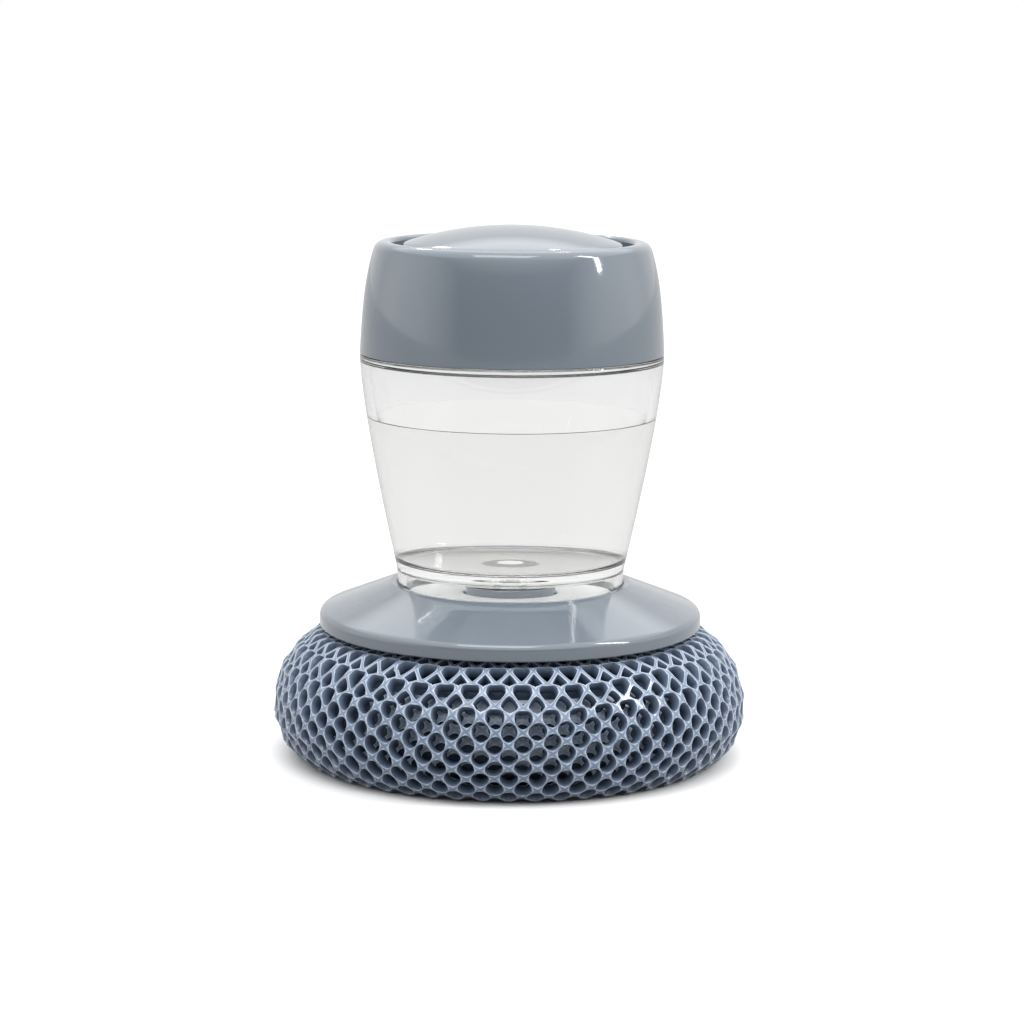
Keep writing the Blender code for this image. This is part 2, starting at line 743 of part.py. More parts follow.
def make_reservoir():
    """The clear cup: a foot ring, a floor with the outlet nozzle, a swelling side and a neck."""
    height = shoulder - floor_bottom
    foot_top = (FOOT_RADIUS + FOOT_FLARE, floor_bottom)
    top = (cap_radius, shoulder)
    top_reach = RESERVOIR_HANDLES[1] * height
    foot_reach = RESERVOIR_HANDLES[0] * height
    side = side_curve(
        top,
        (-RESERVOIR_SLOPES[1] * top_reach, -top_reach),
        (RESERVOIR_SLOPES[0] * foot_reach, foot_reach),
        foot_top,
    )
    lowest = floor_top + FLOOR_FILLET
    inner = [p for p in inset(side, RESERVOIR_WALL) if lowest < p.y < shoulder - NECK_TAPER]
    floor_corner = inner[-1].x - RESERVOIR_SLOPES[0] * (inner[-1].y - floor_top)
    foot_bore = FOOT_RADIUS - FOOT_WALL
    corners = [
        (neck_radius, neck_top, EDGE_BREAK),
        (neck_radius, shoulder, 0),
        (*top, EDGE_BREAK),
        *[(*point, 0) for point in side[1:]],
        (FOOT_RADIUS, foot_bottom, EDGE_BREAK),
        (foot_bore, foot_bottom, 0),
        (foot_bore, floor_bottom, 0),
        (NOZZLE_RADIUS, floor_bottom, 0),
        (NOZZLE_RADIUS, nozzle_bottom, 0),
        (NOZZLE_BORE, nozzle_bottom, 0),
        (NOZZLE_BORE, floor_top, NOZZLE_BORE / 2),
        (floor_corner, floor_top, FLOOR_FILLET),
        *[(*point, 0) for point in reversed(inner)],
        (neck_bore, shoulder, 0),
        (neck_bore, neck_top, 0),
    ]
    return turned("reservoir", rounded(corners), LARGE_STEPS, "clear_plastic")


def make_reservoir_seal():
    """The ring that seals the reservoir's floor on the flange's boss."""
    bottom = deck_top + BOSS_HEIGHT + FIT_GAP
    top = floor_bottom - FIT_GAP
    return ring("reservoir_seal", hub_hole, BOSS_RADIUS, bottom, top, SMALL_STEPS, "silicone")


def make_lock_nut():
    """The hexagon nut that pulls the reservoir's nozzle down on the flange."""
    top = deck_bottom - FIT_GAP
    bottom = top - NUT_HEIGHT
    mesh = round_pattern("lock_nut", 1, 0, nut_radius, nut_radius, bottom, top, 6)
    nut = add_part("lock_nut", mesh, "white_plastic")
    under = bottom - FIT_GAP
    over = top + FIT_GAP
    bore = round_pattern("nut_bore", 1, 0, hub_hole, hub_hole, under, over, SMALL_STEPS)
    combine(nut, add_helper("nut_bore", bore), "DIFFERENCE")
    return nut


def make_outlet_valve():
    """The silicone slit valve: a flange under the nozzle's end and a dome that opens under pressure."""
    dome = valve_radius - RETAINER_LIP - 2 * FIT_GAP
    dome_bottom = valve_bottom - VALVE_DOME
    profile = [
        (0, dome_bottom + VALVE_SKIN),
        (dome * 0.6, dome_bottom + VALVE_SKIN * 1.2),
        (dome - VALVE_SKIN, valve_bottom),
        (dome - VALVE_SKIN, valve_top),
        (valve_radius, valve_top),
        (valve_radius, valve_bottom),
        (dome, valve_bottom),
        (dome * 0.7, dome_bottom + VALVE_SKIN / 3),
        (0, dome_bottom),
    ]
    return turned("outlet_valve", profile, TINY_STEPS, "silicone")


def make_valve_retainer():
    """The cup that screws over the nozzle's end and traps the valve's flange."""
    bore = NOZZLE_RADIUS + RUN_GAP
    outer = bore + RETAINER_WALL
    mouth = valve_radius - RETAINER_LIP
    lip_top = valve_bottom - FIT_GAP
    corners = [
        (outer, nozzle_bottom + RETAINER_SLEEVE, 0),
        (outer, retainer_bottom, RETAINER_LIP / 2),
        (mouth, retainer_bottom, 0),
        (mouth, lip_top, 0),
        (bore, lip_top, 0),
        (bore, nozzle_bottom + RETAINER_SLEEVE, 0),
    ]
    return turned("valve_retainer", rounded(corners), SMALL_STEPS, "white_plastic")


# Cap, pump and button


def make_cap_shell():
    """The palm cap: a rounded rim round the button's well, a guide ledge, and a skirt over the neck."""
    corner_level = rim_top - RIM_CORNER_HEIGHT
    corner = (rim_radius - CAP_SLOPES[1] * RIM_CORNER_HEIGHT, corner_level)
    height = corner_level - cap_bottom
    upper_reach = CAP_HANDLES[1] * height
    lower_reach = CAP_HANDLES[0] * height
    side = side_curve(
        corner,
        (-CAP_SLOPES[1] * upper_reach, -upper_reach),
        (CAP_SLOPES[0] * lower_reach, lower_reach),
        (cap_radius, cap_bottom),
    )
    corners = [
        (well_radius, rim_top, RIM_INNER_FILLET),
        (rim_radius, rim_top, RIM_OUTER_FILLET),
        *[(*point, 0) for point in side],
        (skirt_radius, cap_bottom, 0),
        (skirt_radius, pump_bottom, 0),
        (chamber_radius, pump_bottom, 0),
        (chamber_radius, ledge_bottom, 0),
        (guide_radius, ledge_bottom, 0),
        (guide_radius, ledge_top, 0),
        (well_radius, ledge_top, 0),
    ]
    return turned("cap_shell", rounded(corners), LARGE_STEPS, "grey_plastic")


def underside(radius):
    """Height of the button's inner ceiling at this radius."""
    return button_crown - BUTTON_WALL - dome_sag(radius)


def make_press_button():
    """The crowned button, with a skirt in the guide ledge, a stop flange, gussets and a press stud."""
    crown_steps = SIDE_POINTS
    crown_edge = BUTTON_RADIUS - BUTTON_FILLET
    radii = [crown_edge * k / crown_steps for k in range(crown_steps + 1)]
    ceiling = [button_bore - (button_bore - PRESS_STUD_RADIUS) * k / 4 for k in range(5)]
    foot_radius = BUTTON_RADIUS + BUTTON_FOOT_WIDTH
    stud_bottom = button_crown - BUTTON_WALL - PRESS_STUD_LENGTH
    profile = [(r, button_crown - dome_sag(r)) for r in radii]
    profile += [
        (BUTTON_RADIUS - BUTTON_FILLET * 0.3, button_edge - BUTTON_FILLET * 0.2),
        (BUTTON_RADIUS, button_edge - BUTTON_FILLET),
        (BUTTON_RADIUS, button_foot_top),
        (foot_radius, button_foot_top),
        (foot_radius, button_foot_bottom),
        (button_bore, button_foot_bottom),
    ]
    profile += [(r, underside(r)) for r in ceiling]
    profile += [(PRESS_STUD_RADIUS, stud_bottom), (0, stud_bottom)]
    button = turned("press_button", profile, LARGE_STEPS, "grey_plastic")

    def gusset_top(radius):
        return underside(radius) + BUTTON_WALL / 2

    outer = BUTTON_RADIUS - BUTTON_WALL / 2
    gussets = spoke_pattern(
        "button_gussets", BUTTON_GUSSETS, gusset_inner, outer, RIB_THICKNESS, button_foot_top, gusset_top
    )
    combine(button, add_helper("button_gussets", gussets), "UNION")
    return button


def make_cap_gasket():
    """The ring between the reservoir's neck and the pump plate."""
    return ring("cap_gasket", neck_bore, neck_radius, gasket_bottom, gasket_top, MIDDLE_STEPS, "silicone")


def make_pump_plate():
    """The plate that closes the cap: a plug in the neck, air ports and a ridge round the bellows."""
    edge = chamber_radius - RUN_GAP
    plug_outer = neck_bore - RUN_GAP
    plug_inner = plug_outer - PLUG_WALL
    stem_hole = AIR_VALVE_STEM + FIT_GAP
    corners = [
        (edge, pump_top, EDGE_BREAK),
        (edge, pump_bottom, 0),
        (plug_outer, pump_bottom, 0),
        (plug_outer, pump_bottom - PLUG_DEPTH, PLUG_WALL / 3),
        (plug_inner, pump_bottom - PLUG_DEPTH, 0),
        (plug_inner, pump_bottom, 0),
        (stem_hole, pump_bottom, 0),
        (stem_hole, pump_top, 0),
        (ridge_radius, pump_top, 0),
        (ridge_radius, pump_top + RIDGE_HEIGHT, 0),
        (ridge_outer, pump_top + RIDGE_HEIGHT, 0),
        (ridge_outer, pump_top, 0),
    ]
    plate = turned("pump_plate", rounded(corners), MIDDLE_STEPS, "white_plastic")
    under = pump_bottom - FIT_GAP
    over = pump_top + FIT_GAP
    port = AIR_PORT_RADIUS
    ports = round_pattern("air_ports", AIR_PORTS, AIR_PORT_CIRCLE, port, port, under, over, SCREW_STEPS)
    combine(plate, add_helper("air_ports", ports), "DIFFERENCE")
    return plate


def make_air_valve():
    """The umbrella valve under the air ports, held by the bulb on its stem."""
    cap_top = pump_bottom - FIT_GAP
    bulb_bottom = pump_top + FIT_GAP
    profile = [
        (0, bulb_bottom + AIR_VALVE_BULB),
        (AIR_VALVE_STEM, bulb_bottom + AIR_VALVE_BULB * 0.8),
        (AIR_VALVE_BULB, bulb_bottom),
        (AIR_VALVE_STEM, bulb_bottom),
        (AIR_VALVE_STEM, cap_top),
        (AIR_VALVE_RADIUS, cap_top),
        (AIR_VALVE_RADIUS, cap_top - AIR_VALVE_THICKNESS / 2),
        (0, cap_top - AIR_VALVE_THICKNESS * 2),
    ]
    return turned("air_valve", profile, TINY_STEPS, "silicone")


def make_pump_bellows():
    """The silicone bellows that the button's stud squeezes: folds over a flat flange."""
    top = button_crown - BUTTON_WALL - PRESS_STUD_LENGTH - FIT_GAP
    base = pump_top + FIT_GAP
    flange_top = base + BELLOWS_FLANGE_THICKNESS
    root = bellows_radius - BELLOWS_FOLD_DEPTH
    turns = 2 * BELLOWS_FOLD_COUNT
    folds = []
    for k in range(turns + 1):
        radius = root if k % 2 == 0 else bellows_radius
        folds.append((radius, top - (top - flange_top) * k / turns))
    inner_folds = [(radius - BELLOWS_WALL, level) for radius, level in folds[1:]]
    profile = [
        (0, top),
        *folds,
        (bellows_base, flange_top),
        (bellows_base, base),
        (root - BELLOWS_WALL, base),
        *reversed(inner_folds),
        (root - BELLOWS_WALL, top - BELLOWS_WALL),
        (0, top - BELLOWS_WALL),
    ]
    return turned("pump_bellows", profile, SMALL_STEPS, "silicone")


def make_bellows_ring():
    """The ring inside the ridge that holds the bellows' flange down."""
    bottom = pump_top + BELLOWS_FLANGE_THICKNESS + 2 * FIT_GAP
    top = bottom + BELLOWS_RING_THICKNESS
    inner = bellows_radius + 2 * FIT_GAP
    return ring("bellows_ring", inner, bellows_base, bottom, top, MIDDLE_STEPS, "white_plastic")


def make_button_spring():
    """The return spring, one open coil round the bellows. Prints the least gap between its turns."""
    low = pump_top + FIT_GAP + SPRING_WIRE_RADIUS
    high = underside(coil_radius + SPRING_WIRE_RADIUS) - FIT_GAP - SPRING_WIRE_RADIUS
    count = SPRING_TURNS * COIL_POINTS
    curve = bpy.data.curves.new("button_spring", "CURVE")
    curve.dimensions = "3D"
    curve.bevel_depth = SPRING_WIRE_RADIUS
    curve.bevel_resolution = 1
    curve.use_fill_caps = True
    spline = curve.splines.new("POLY")
    spline.points.add(count)
    path = []
    for k in range(count + 1):
        angle = math.tau * k / COIL_POINTS
        level = low + (high - low) * k / count
        path.append(Vector((coil_radius * math.cos(angle), coil_radius * math.sin(angle), level)))
        spline.points[k].co = (*path[k], 1)
    far = COIL_POINTS // 2
    gap = min((path[i] - path[j]).length for i in range(count) for j in range(i + far, count + 1))
    print(f"least gap between the spring's turns: {(gap - 2 * SPRING_WIRE_RADIUS) * 1000:.2f} mm")
    return add_part("button_spring", curve, "steel")


def main():
    clear_scene()
    base = [make_reservoir(), make_reservoir_seal(), make_lock_nut(), make_outlet_valve()]
    base += [make_valve_retainer(), make_base_flange(), make_socket_plate(), *make_base_screws()]
    head_seal = make_head_seal()
    head = [make_head_carrier(), make_clamp_ring(), make_scrub_net(), make_inner_net()]
    head += [make_scrub_core(), make_net_tie()]
    gasket = make_cap_gasket()
    cap = [make_cap_shell(), make_pump_plate(), make_air_valve(), make_pump_bellows()]
    cap += [make_bellows_ring(), make_button_spring()]

    cap_turn = make_axis("cap_turn_axis", cap_bottom, cap)
    make_axis("cap_rise_axis", cap_bottom, [gasket, cap_turn])
    button_slide = make_axis("button_slide_axis", ledge_top, [make_press_button()])
    button_slide.parent = cap_turn
    button_slide.matrix_parent_inverse = Matrix.Translation((0, 0, -cap_bottom))
    head_turn = make_axis("head_turn_axis", plate_bottom, head)
    make_axis("head_drop_axis", plate_bottom, [head_seal, head_turn])
    print(f"{len(base) + len(head) + len(cap) + 3} pieces, {button_crown * 1000:.1f} mm tall")


parts = make_collection("soap_palm_brush")
cutters = make_collection("cutters")
main()
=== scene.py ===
# %% [markdown]
# # A soap dispensing palm brush
# The object is a hand-sized brush: a press button and a cap in blue-grey plastic, a clear reservoir
# that is half full of soap, a sloping base and a round head covered in coarse net. Its engineering
# model is already packed, with its moving bodies, so this lesson dresses that model. Pieces that are
# seen closely are modelled again with fine rounding, and hidden ones keep their shape and get a
# better finish. Everything is in metres, with the floor at zero and the brush's axis on Z.

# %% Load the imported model
import math

import bmesh
import bpy
import numpy as np
from mathutils import Matrix, Vector
from mathutils.geometry import interpolate_bezier


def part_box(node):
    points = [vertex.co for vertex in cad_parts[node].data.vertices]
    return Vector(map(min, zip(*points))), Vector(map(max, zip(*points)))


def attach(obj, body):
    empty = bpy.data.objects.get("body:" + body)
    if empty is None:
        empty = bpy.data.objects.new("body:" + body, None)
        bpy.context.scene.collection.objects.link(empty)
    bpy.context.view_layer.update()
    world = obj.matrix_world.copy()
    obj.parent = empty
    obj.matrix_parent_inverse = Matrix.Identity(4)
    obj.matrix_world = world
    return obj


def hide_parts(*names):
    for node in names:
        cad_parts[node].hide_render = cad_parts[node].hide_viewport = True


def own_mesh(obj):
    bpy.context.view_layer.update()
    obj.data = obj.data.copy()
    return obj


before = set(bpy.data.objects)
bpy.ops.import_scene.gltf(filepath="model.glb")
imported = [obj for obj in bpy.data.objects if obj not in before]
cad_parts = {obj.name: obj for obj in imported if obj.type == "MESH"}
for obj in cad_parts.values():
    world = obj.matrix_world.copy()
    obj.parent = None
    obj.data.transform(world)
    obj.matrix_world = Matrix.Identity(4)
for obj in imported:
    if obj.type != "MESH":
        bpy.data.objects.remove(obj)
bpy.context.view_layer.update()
MM = 0.001

# %% [markdown]
# ## Camera
# The camera comes first, because every later decision is judged through it. The brush was seen from
# about half a metre away and a little above, so near and far rims open into slim ellipses. A long
# lens at that distance gives the same mild perspective. A slight roll matches how the brush leans.

# %% Place the camera
CAMERA_DISTANCE = 0.5318
CAMERA_HEIGHT = 0.1322
CAMERA_PITCH = math.radians(9.5)
CAMERA_ROLL = math.radians(0.45)
CAMERA_SIDE = 0.0002
FOCAL_PIXELS = 3034
IMAGE_PIXELS = 1024

camera_data = bpy.data.cameras.new("camera")
camera_data.sensor_width = 36
camera_data.lens = FOCAL_PIXELS / IMAGE_PIXELS * camera_data.sensor_width
camera_data.clip_start = 0.01
camera = bpy.data.objects.new("camera", camera_data)
bpy.context.scene.collection.objects.link(camera)
tilt = Matrix.Rotation(math.pi / 2 - CAMERA_PITCH, 4, "X")
roll = Matrix.Rotation(CAMERA_ROLL, 4, "Z")
camera.matrix_world = Matrix.Translation((CAMERA_SIDE, -CAMERA_DISTANCE, CAMERA_HEIGHT)) @ tilt @ roll
bpy.context.scene.camera = camera
print("lens in mm:", round(camera_data.lens, 1))

# %% [markdown]
# ## Floor and light
# A product picture stands on a seamless pale floor in a white room. A very large floor disc fills
# the whole frame, so there is no wall to light. The room is dim in front, where the photographer
# stands, pale at the back, bright at both sides and brightest in a ceiling that starts above head
# height. Glossy plastic then shows pale tops and flanks and a darker middle. The camera itself sees
# plain white, and so do rays through clear plastic. Light that reaches a surface through a clear
# wall is made stronger, because a path tracer finds only a part of it. Window-shaped lamps add the
# crisp streaks that show how glossy the plastic is.

# %% Lay the floor


def start_fresh():
    """Leaves edit mode with nothing selected, so that the next operator acts on its own piece."""
    if bpy.context.object and bpy.context.object.mode == "EDIT":
        bpy.ops.object.mode_set(mode="OBJECT")
    bpy.ops.object.select_all(action="DESELECT")


def name_piece(name):
    """Names the piece that was just added, and its mesh. Returns the piece."""
    piece = bpy.context.object
    piece.name = piece.data.name = name
    return piece


def apply_place():
    """Moves the place, turn and size of the selected piece into its mesh."""
    bpy.ops.object.transform_apply(location=True, rotation=True, scale=True)


def edit_all():
    """Enters edit mode with the whole mesh selected."""
    bpy.ops.object.mode_set(mode="EDIT")
    bpy.ops.mesh.select_all(action="SELECT")


start_fresh()
bpy.ops.mesh.primitive_circle_add(vertices=96, radius=12, fill_type="NGON", location=(0, 0, -0.0002))
floor = name_piece("floor")
apply_place()
print("floor in metres:", [round(d, 1) for d in floor.dimensions])

# %% [markdown]
# The room's light and every finish are small networks of nodes. Short helpers keep them easy to
# read: one adds a node with its values, and one links nodes row by row. Another tells what the
# camera sees, itself or through a clear wall, from all the other light.

# %% Make the helpers for nodes


def add_node(tree, kind, values=None, **settings):
    """A node of that kind with its settings and its input values."""
    node = tree.nodes.new(kind)
    for label, value in settings.items():
        setattr(node, label, value)
    for label, value in (values or {}).items():
        node.inputs[label].default_value = value
    return node


def wire(*rows):
    """Links nodes. A row holds a node, its output, the next node and that node's input."""
    for node, output, next_node, socket in rows:
        node.id_data.links.new(node.outputs[output], next_node.inputs[socket])


def seen_share(tree, ray, through):
    """A node that gives 1 for camera rays, a share for rays through clear walls, and 0 for others."""
    share = add_node(tree, "ShaderNodeMath", {1: through}, operation="MULTIPLY_ADD")
    wire((ray, "Is Transmission Ray", share, 0), (ray, "Is Camera Ray", share, 2))
    return share


def fade_over(tree, edge, low, high):
    """A node that rises from low to high as its value crosses an edge."""
    limits = {"From Min": edge[0], "From Max": edge[1], "To Min": low, "To Max": high}
    return add_node(tree, "ShaderNodeMapRange", limits)


# %% Light the room
SKY_FRONT = 0.16
SKY_BACK = 0.85
SKY_SIDES = 1.4
SKY_TOP = 1.8
SKY_SEEN = 1.0
SEEN_THROUGH_CLEAR = 0.85
LIGHT_THROUGH_CLEAR = 5.0
BACK_EDGE = (-0.25, 0.35)
SIDES_EDGE = (0.62, 0.97)
CEILING_EDGE = (0.36, 0.56)

world = bpy.data.worlds.new("studio")
world.use_nodes = True
bpy.context.scene.world = world
tree = world.node_tree
tree.nodes.clear()
direction = add_node(tree, "ShaderNodeTexCoord")
split = add_node(tree, "ShaderNodeSeparateXYZ")
across = add_node(tree, "ShaderNodeMath", operation="ABSOLUTE")
back = fade_over(tree, BACK_EDGE, SKY_FRONT, SKY_BACK)
sides = fade_over(tree, SIDES_EDGE, 0.0, SKY_SIDES)
ceiling = fade_over(tree, CEILING_EDGE, SKY_FRONT, SKY_TOP)
walls = add_node(tree, "ShaderNodeMath", operation="MAXIMUM")
room = add_node(tree, "ShaderNodeMath", operation="MAXIMUM")
ray = add_node(tree, "ShaderNodeLightPath")
seen = seen_share(tree, ray, SEEN_THROUGH_CLEAR)
choose = add_node(tree, "ShaderNodeMix", {3: SKY_SEEN})
bounced = add_node(tree, "ShaderNodeMath", {1: 1.0}, operation="MINIMUM")
lit_inside = add_node(tree, "ShaderNodeMath", operation="MULTIPLY")
boost = add_node(tree, "ShaderNodeMath", {1: LIGHT_THROUGH_CLEAR}, operation="MULTIPLY_ADD")
glow = add_node(tree, "ShaderNodeBackground", {"Color": (1.0, 1.0, 1.0, 1.0)})
sky = add_node(tree, "ShaderNodeOutputWorld")
wire(
    (direction, "Generated", split, "Vector"),
    (split, "X", across, 0),
    (split, "Y", back, "Value"),
    (split, "Z", ceiling, "Value"),
    (across, "Value", sides, "Value"),
    (sides, "Result", walls, 0),
    (back, "Result", walls, 1),
    (ceiling, "Result", room, 0),
    (walls, "Value", room, 1),
    (seen, "Value", choose, 0),
    (room, "Value", choose, 2),
    (ray, "Diffuse Depth", bounced, 0),
    (bounced, "Value", lit_inside, 0),
    (ray, "Is Transmission Ray", lit_inside, 1),
    (lit_inside, "Value", boost, 0),
    (choose, 0, boost, 2),
    (boost, "Value", glow, "Strength"),
    (glow, "Background", sky, "Surface"),
)
bpy.context.scene.view_settings.view_transform = "Standard"
print("light nodes:", len(tree.nodes))

# %% Hang the lamps
BRUSH_MIDDLE = (0, 0, 0.06)


def add_softbox(name, place, width, height, power):
    """A rectangular lamp that looks at the middle of the brush."""
    data = bpy.data.lights.new(name, "AREA")
    data.shape = "RECTANGLE"
    data.size = width
    data.size_y = height
    data.energy = power
    lamp = bpy.data.objects.new(name, data)
    bpy.context.scene.collection.objects.link(lamp)
    lamp.location = place
    lamp.rotation_euler = (Vector(BRUSH_MIDDLE) - Vector(place)).to_track_quat("-Z", "Y").to_euler()


add_softbox("ceiling_box", (-0.08, -0.36, 0.95), 0.6, 0.42, 3.0)
add_softbox("side_window", (0.77, -0.21, 0.63), 0.07, 0.62, 3.4)
add_softbox("back_window_right", (0.13, 0.69, 0.75), 0.03, 0.03, 0.06)
add_softbox("back_window_left", (-0.19, 0.79, 0.62), 0.06, 0.04, 0.15)
print("lamps:", len(bpy.data.lights))

# %% [markdown]
# ## Finishes
# Real plastic is never one flat colour: moulding leaves faint clouds in the tint, handling leaves
# fine marks that change the gloss, and nothing is perfectly even. Several finishes need that same
# effect at different strengths, so it is built once as a node group. The group gives a colour, a
# roughness and a height, and the shader itself stays in each material.

# %% Build the shared surface group
NUMBER = "NodeSocketFloat"
COLOUR = "NodeSocketColor"


def start_group(name, inputs, outputs):
    """An empty shader group with named sockets, and its two end nodes."""
    group = bpy.data.node_groups.new(name, "ShaderNodeTree")
    for label, (kind, value) in inputs.items():
        socket = group.interface.new_socket(name=label, in_out="INPUT", socket_type=kind)
        socket.default_value = value
    for label, kind in outputs.items():
        group.interface.new_socket(name=label, in_out="OUTPUT", socket_type=kind)
    return group, group.nodes.new("NodeGroupInput"), group.nodes.new("NodeGroupOutput")


moulded, ends_in, ends_out = start_group(
    "moulded_surface",
    {
        "Tint": (COLOUR, (0.5, 0.5, 0.5, 1)),
        "Cloud Tint": (COLOUR, (0.4, 0.4, 0.4, 1)),
        "Cloud Scale": (NUMBER, 60.0),
        "Gloss": (NUMBER, 0.2),
        "Handling": (NUMBER, 0.1),
        "Mark Scale": (NUMBER, 400.0),
    },
    {"Color": COLOUR, "Roughness": NUMBER, "Height": NUMBER},
)
where = add_node(moulded, "ShaderNodeTexCoord")
clouds = add_node(moulded, "ShaderNodeTexNoise", {"Detail": 3.0, "Roughness": 0.5})
tint = add_node(moulded, "ShaderNodeMix", data_type="RGBA")
stretch = add_node(moulded, "ShaderNodeMapping", {"Scale": (1.0, 1.0, 0.35)})
marks = add_node(moulded, "ShaderNodeTexNoise", {"Detail": 6.0, "Roughness": 0.65, "Distortion": 0.6})
spread = add_node(moulded, "ShaderNodeMath", operation="MULTIPLY_ADD")
wire(
    (where, "Object", clouds, "Vector"),
    (ends_in, "Cloud Scale", clouds, "Scale"),
    (clouds, "Fac", tint, "Factor"),
    (ends_in, "Tint", tint, "A"),
    (ends_in, "Cloud Tint", tint, "B"),
    (where, "Object", stretch, "Vector"),
    (stretch, "Vector", marks, "Vector"),
    (ends_in, "Mark Scale", marks, "Scale"),
    (marks, "Fac", spread, 0),
    (ends_in, "Handling", spread, 1),
    (ends_in, "Gloss", spread, 2),
    (tint, "Result", ends_out, "Color"),
    (spread, "Value", ends_out, "Roughness"),
    (marks, "Fac", ends_out, "Height"),
)
print("group:", moulded.name, "with", len(moulded.nodes), "nodes")

# %% Build the plastics, the rubber and the metals


def start_finish(name, **constants):
    """A material whose Principled shader has plain numbers on its own sockets."""
    finish = bpy.data.materials.new(name)
    finish.use_nodes = True
    shader = finish.node_tree.nodes["Principled BSDF"]
    for label, value in constants.items():
        shader.inputs[label.replace("_", " ").title().replace("Ior", "IOR")].default_value = value
    return finish, shader


def mould_finish(
    name, tint, cloud_tint, gloss, handling, depth, cloud_scale=60, mark_scale=400, **constants
):
    """A moulded finish: the shared group drives colour, roughness and a very low relief."""
    finish, shader = start_finish(name, **constants)
    tree = finish.node_tree
    values = {
        "Tint": (*tint, 1),
        "Cloud Tint": (*cloud_tint, 1),
        "Cloud Scale": cloud_scale,
        "Gloss": gloss,
        "Handling": handling,
        "Mark Scale": mark_scale,
    }
    skin = add_node(tree, "ShaderNodeGroup", values, node_tree=moulded)
    relief = add_node(tree, "ShaderNodeBump", {"Strength": 0.3, "Distance": depth})
    wire(
        (skin, "Color", shader, "Base Color"),
        (skin, "Roughness", shader, "Roughness"),
        (skin, "Height", relief, "Height"),
        (relief, "Normal", shader, "Normal"),
    )
    return finish


def show_paler(finish, tint, through):
    """Shows the camera a paler tint than the finish sheds near it, and a share of it through clear walls."""
    tree = finish.node_tree
    shader = tree.nodes["Principled BSDF"]
    own = shader.inputs["Base Color"].links[0].from_socket
    share = seen_share(tree, add_node(tree, "ShaderNodeLightPath"), through)
    choose = add_node(tree, "ShaderNodeMix", {"B": (*tint, 1)}, data_type="RGBA")
    tree.links.new(own, choose.inputs["A"])
    wire((share, "Value", choose, "Factor"), (choose, "Result", shader, "Base Color"))


grey_gloss = mould_finish(
    "grey_gloss", (0.152, 0.181, 0.213), (0.136, 0.162, 0.192), 0.06, 0.08, 0.00001,
    cloud_scale=35, mark_scale=260, coat_weight=0.6, coat_roughness=0.03,
)
white_satin = mould_finish("white_satin", (0.80, 0.81, 0.80), (0.74, 0.75, 0.75), 0.28, 0.16, 0.00002)
liner_white = mould_finish("liner_white", (0.94, 0.95, 0.95), (0.90, 0.91, 0.91), 0.4, 0.1, 0.00001)
tie_nylon = mould_finish("tie_nylon", (0.70, 0.72, 0.72), (0.60, 0.62, 0.63), 0.35, 0.15, 0.00003)
milky_rubber = mould_finish(
    "milky_rubber", (0.70, 0.72, 0.72), (0.62, 0.64, 0.65), 0.38, 0.15, 0.00003,
    subsurface_weight=0.25, subsurface_scale=0.002,
)
spring_wire = mould_finish(
    "spring_wire", (0.62, 0.61, 0.59), (0.50, 0.49, 0.47), 0.16, 0.18, 0.00001, mark_scale=900, metallic=1.0
)
screw_steel = mould_finish(
    "screw_steel", (0.58, 0.57, 0.55), (0.42, 0.41, 0.40), 0.22, 0.20, 0.00002, mark_scale=1200, metallic=1.0
)
foam_dark = mould_finish(
    "foam_dark", (0.03, 0.047, 0.078), (0.060, 0.086, 0.13), 0.75, 0.2, 0.0004, 300, 900,
    specular_ior_level=0.15,
)
FLOOR_SEEN = (0.88, 0.88, 0.88)
FLOOR_THROUGH_CLEAR = 0.21
floor_white = mould_finish(
    "floor_white", (0.38, 0.38, 0.38), (0.36, 0.36, 0.36), 0.5, 0.1, 0.00001, 3, 40, specular_ior_level=0.15
)
show_paler(floor_white, FLOOR_SEEN, FLOOR_THROUGH_CLEAR)
floor.data.materials.append(floor_white)
print("moulded finishes:", moulded.users)

# %% [markdown]
# The reservoir is clear acrylic and the soap in it is a clear liquid. Glass-like finishes keep
# plain numbers on their transmission and only get a faint waviness in their relief, which is what
# injection moulding leaves in a thick clear wall.

# %% Build the clear finishes


def clear_finish(name, tint, ior, roughness, wave_scale, wave_depth):
    """A see-through finish with a faint moulded waviness."""
    finish, shader = start_finish(
        name, base_color=(*tint, 1), transmission_weight=1.0, ior=ior, roughness=roughness
    )
    tree = finish.node_tree
    where = add_node(tree, "ShaderNodeTexCoord")
    wave = add_node(tree, "ShaderNodeTexNoise", {"Scale": wave_scale, "Detail": 1.0})
    relief = add_node(tree, "ShaderNodeBump", {"Strength": 0.15, "Distance": wave_depth})
    wire(
        (where, "Object", wave, "Vector"),
        (wave, "Fac", relief, "Height"),
        (relief, "Normal", shader, "Normal"),
    )
    return finish


clear_acrylic = clear_finish("clear_acrylic", (0.972, 0.976, 0.974), 1.49, 0.01, 45, 0.00004)
clear_soap = clear_finish("clear_soap", (0.99, 0.985, 0.975), 1.08, 0.0, 30, 0.00001)
print("clear finishes:", clear_acrylic.name, clear_soap.name)

# %% [markdown]
# ## Turned pieces
# The cap, the button, the reservoir and the base all come from round moulds, so each is one half
# section swept about the axis. A lathe-like model needs three moves: extrude a vertex from corner
# to corner of the section, bevel the corners that the real piece has rounded, and spin the section
# all the way round. A spin can leave faces pointing inwards, so doubles are merged first and the
# normals are then recalculated. Weighted normals keep the wide flats flat beside small roundings.

# %% Make the helpers for turned pieces
FULL_STEPS = 96
SAME_PLACE = 1e-7
DOUBLES = 1e-6


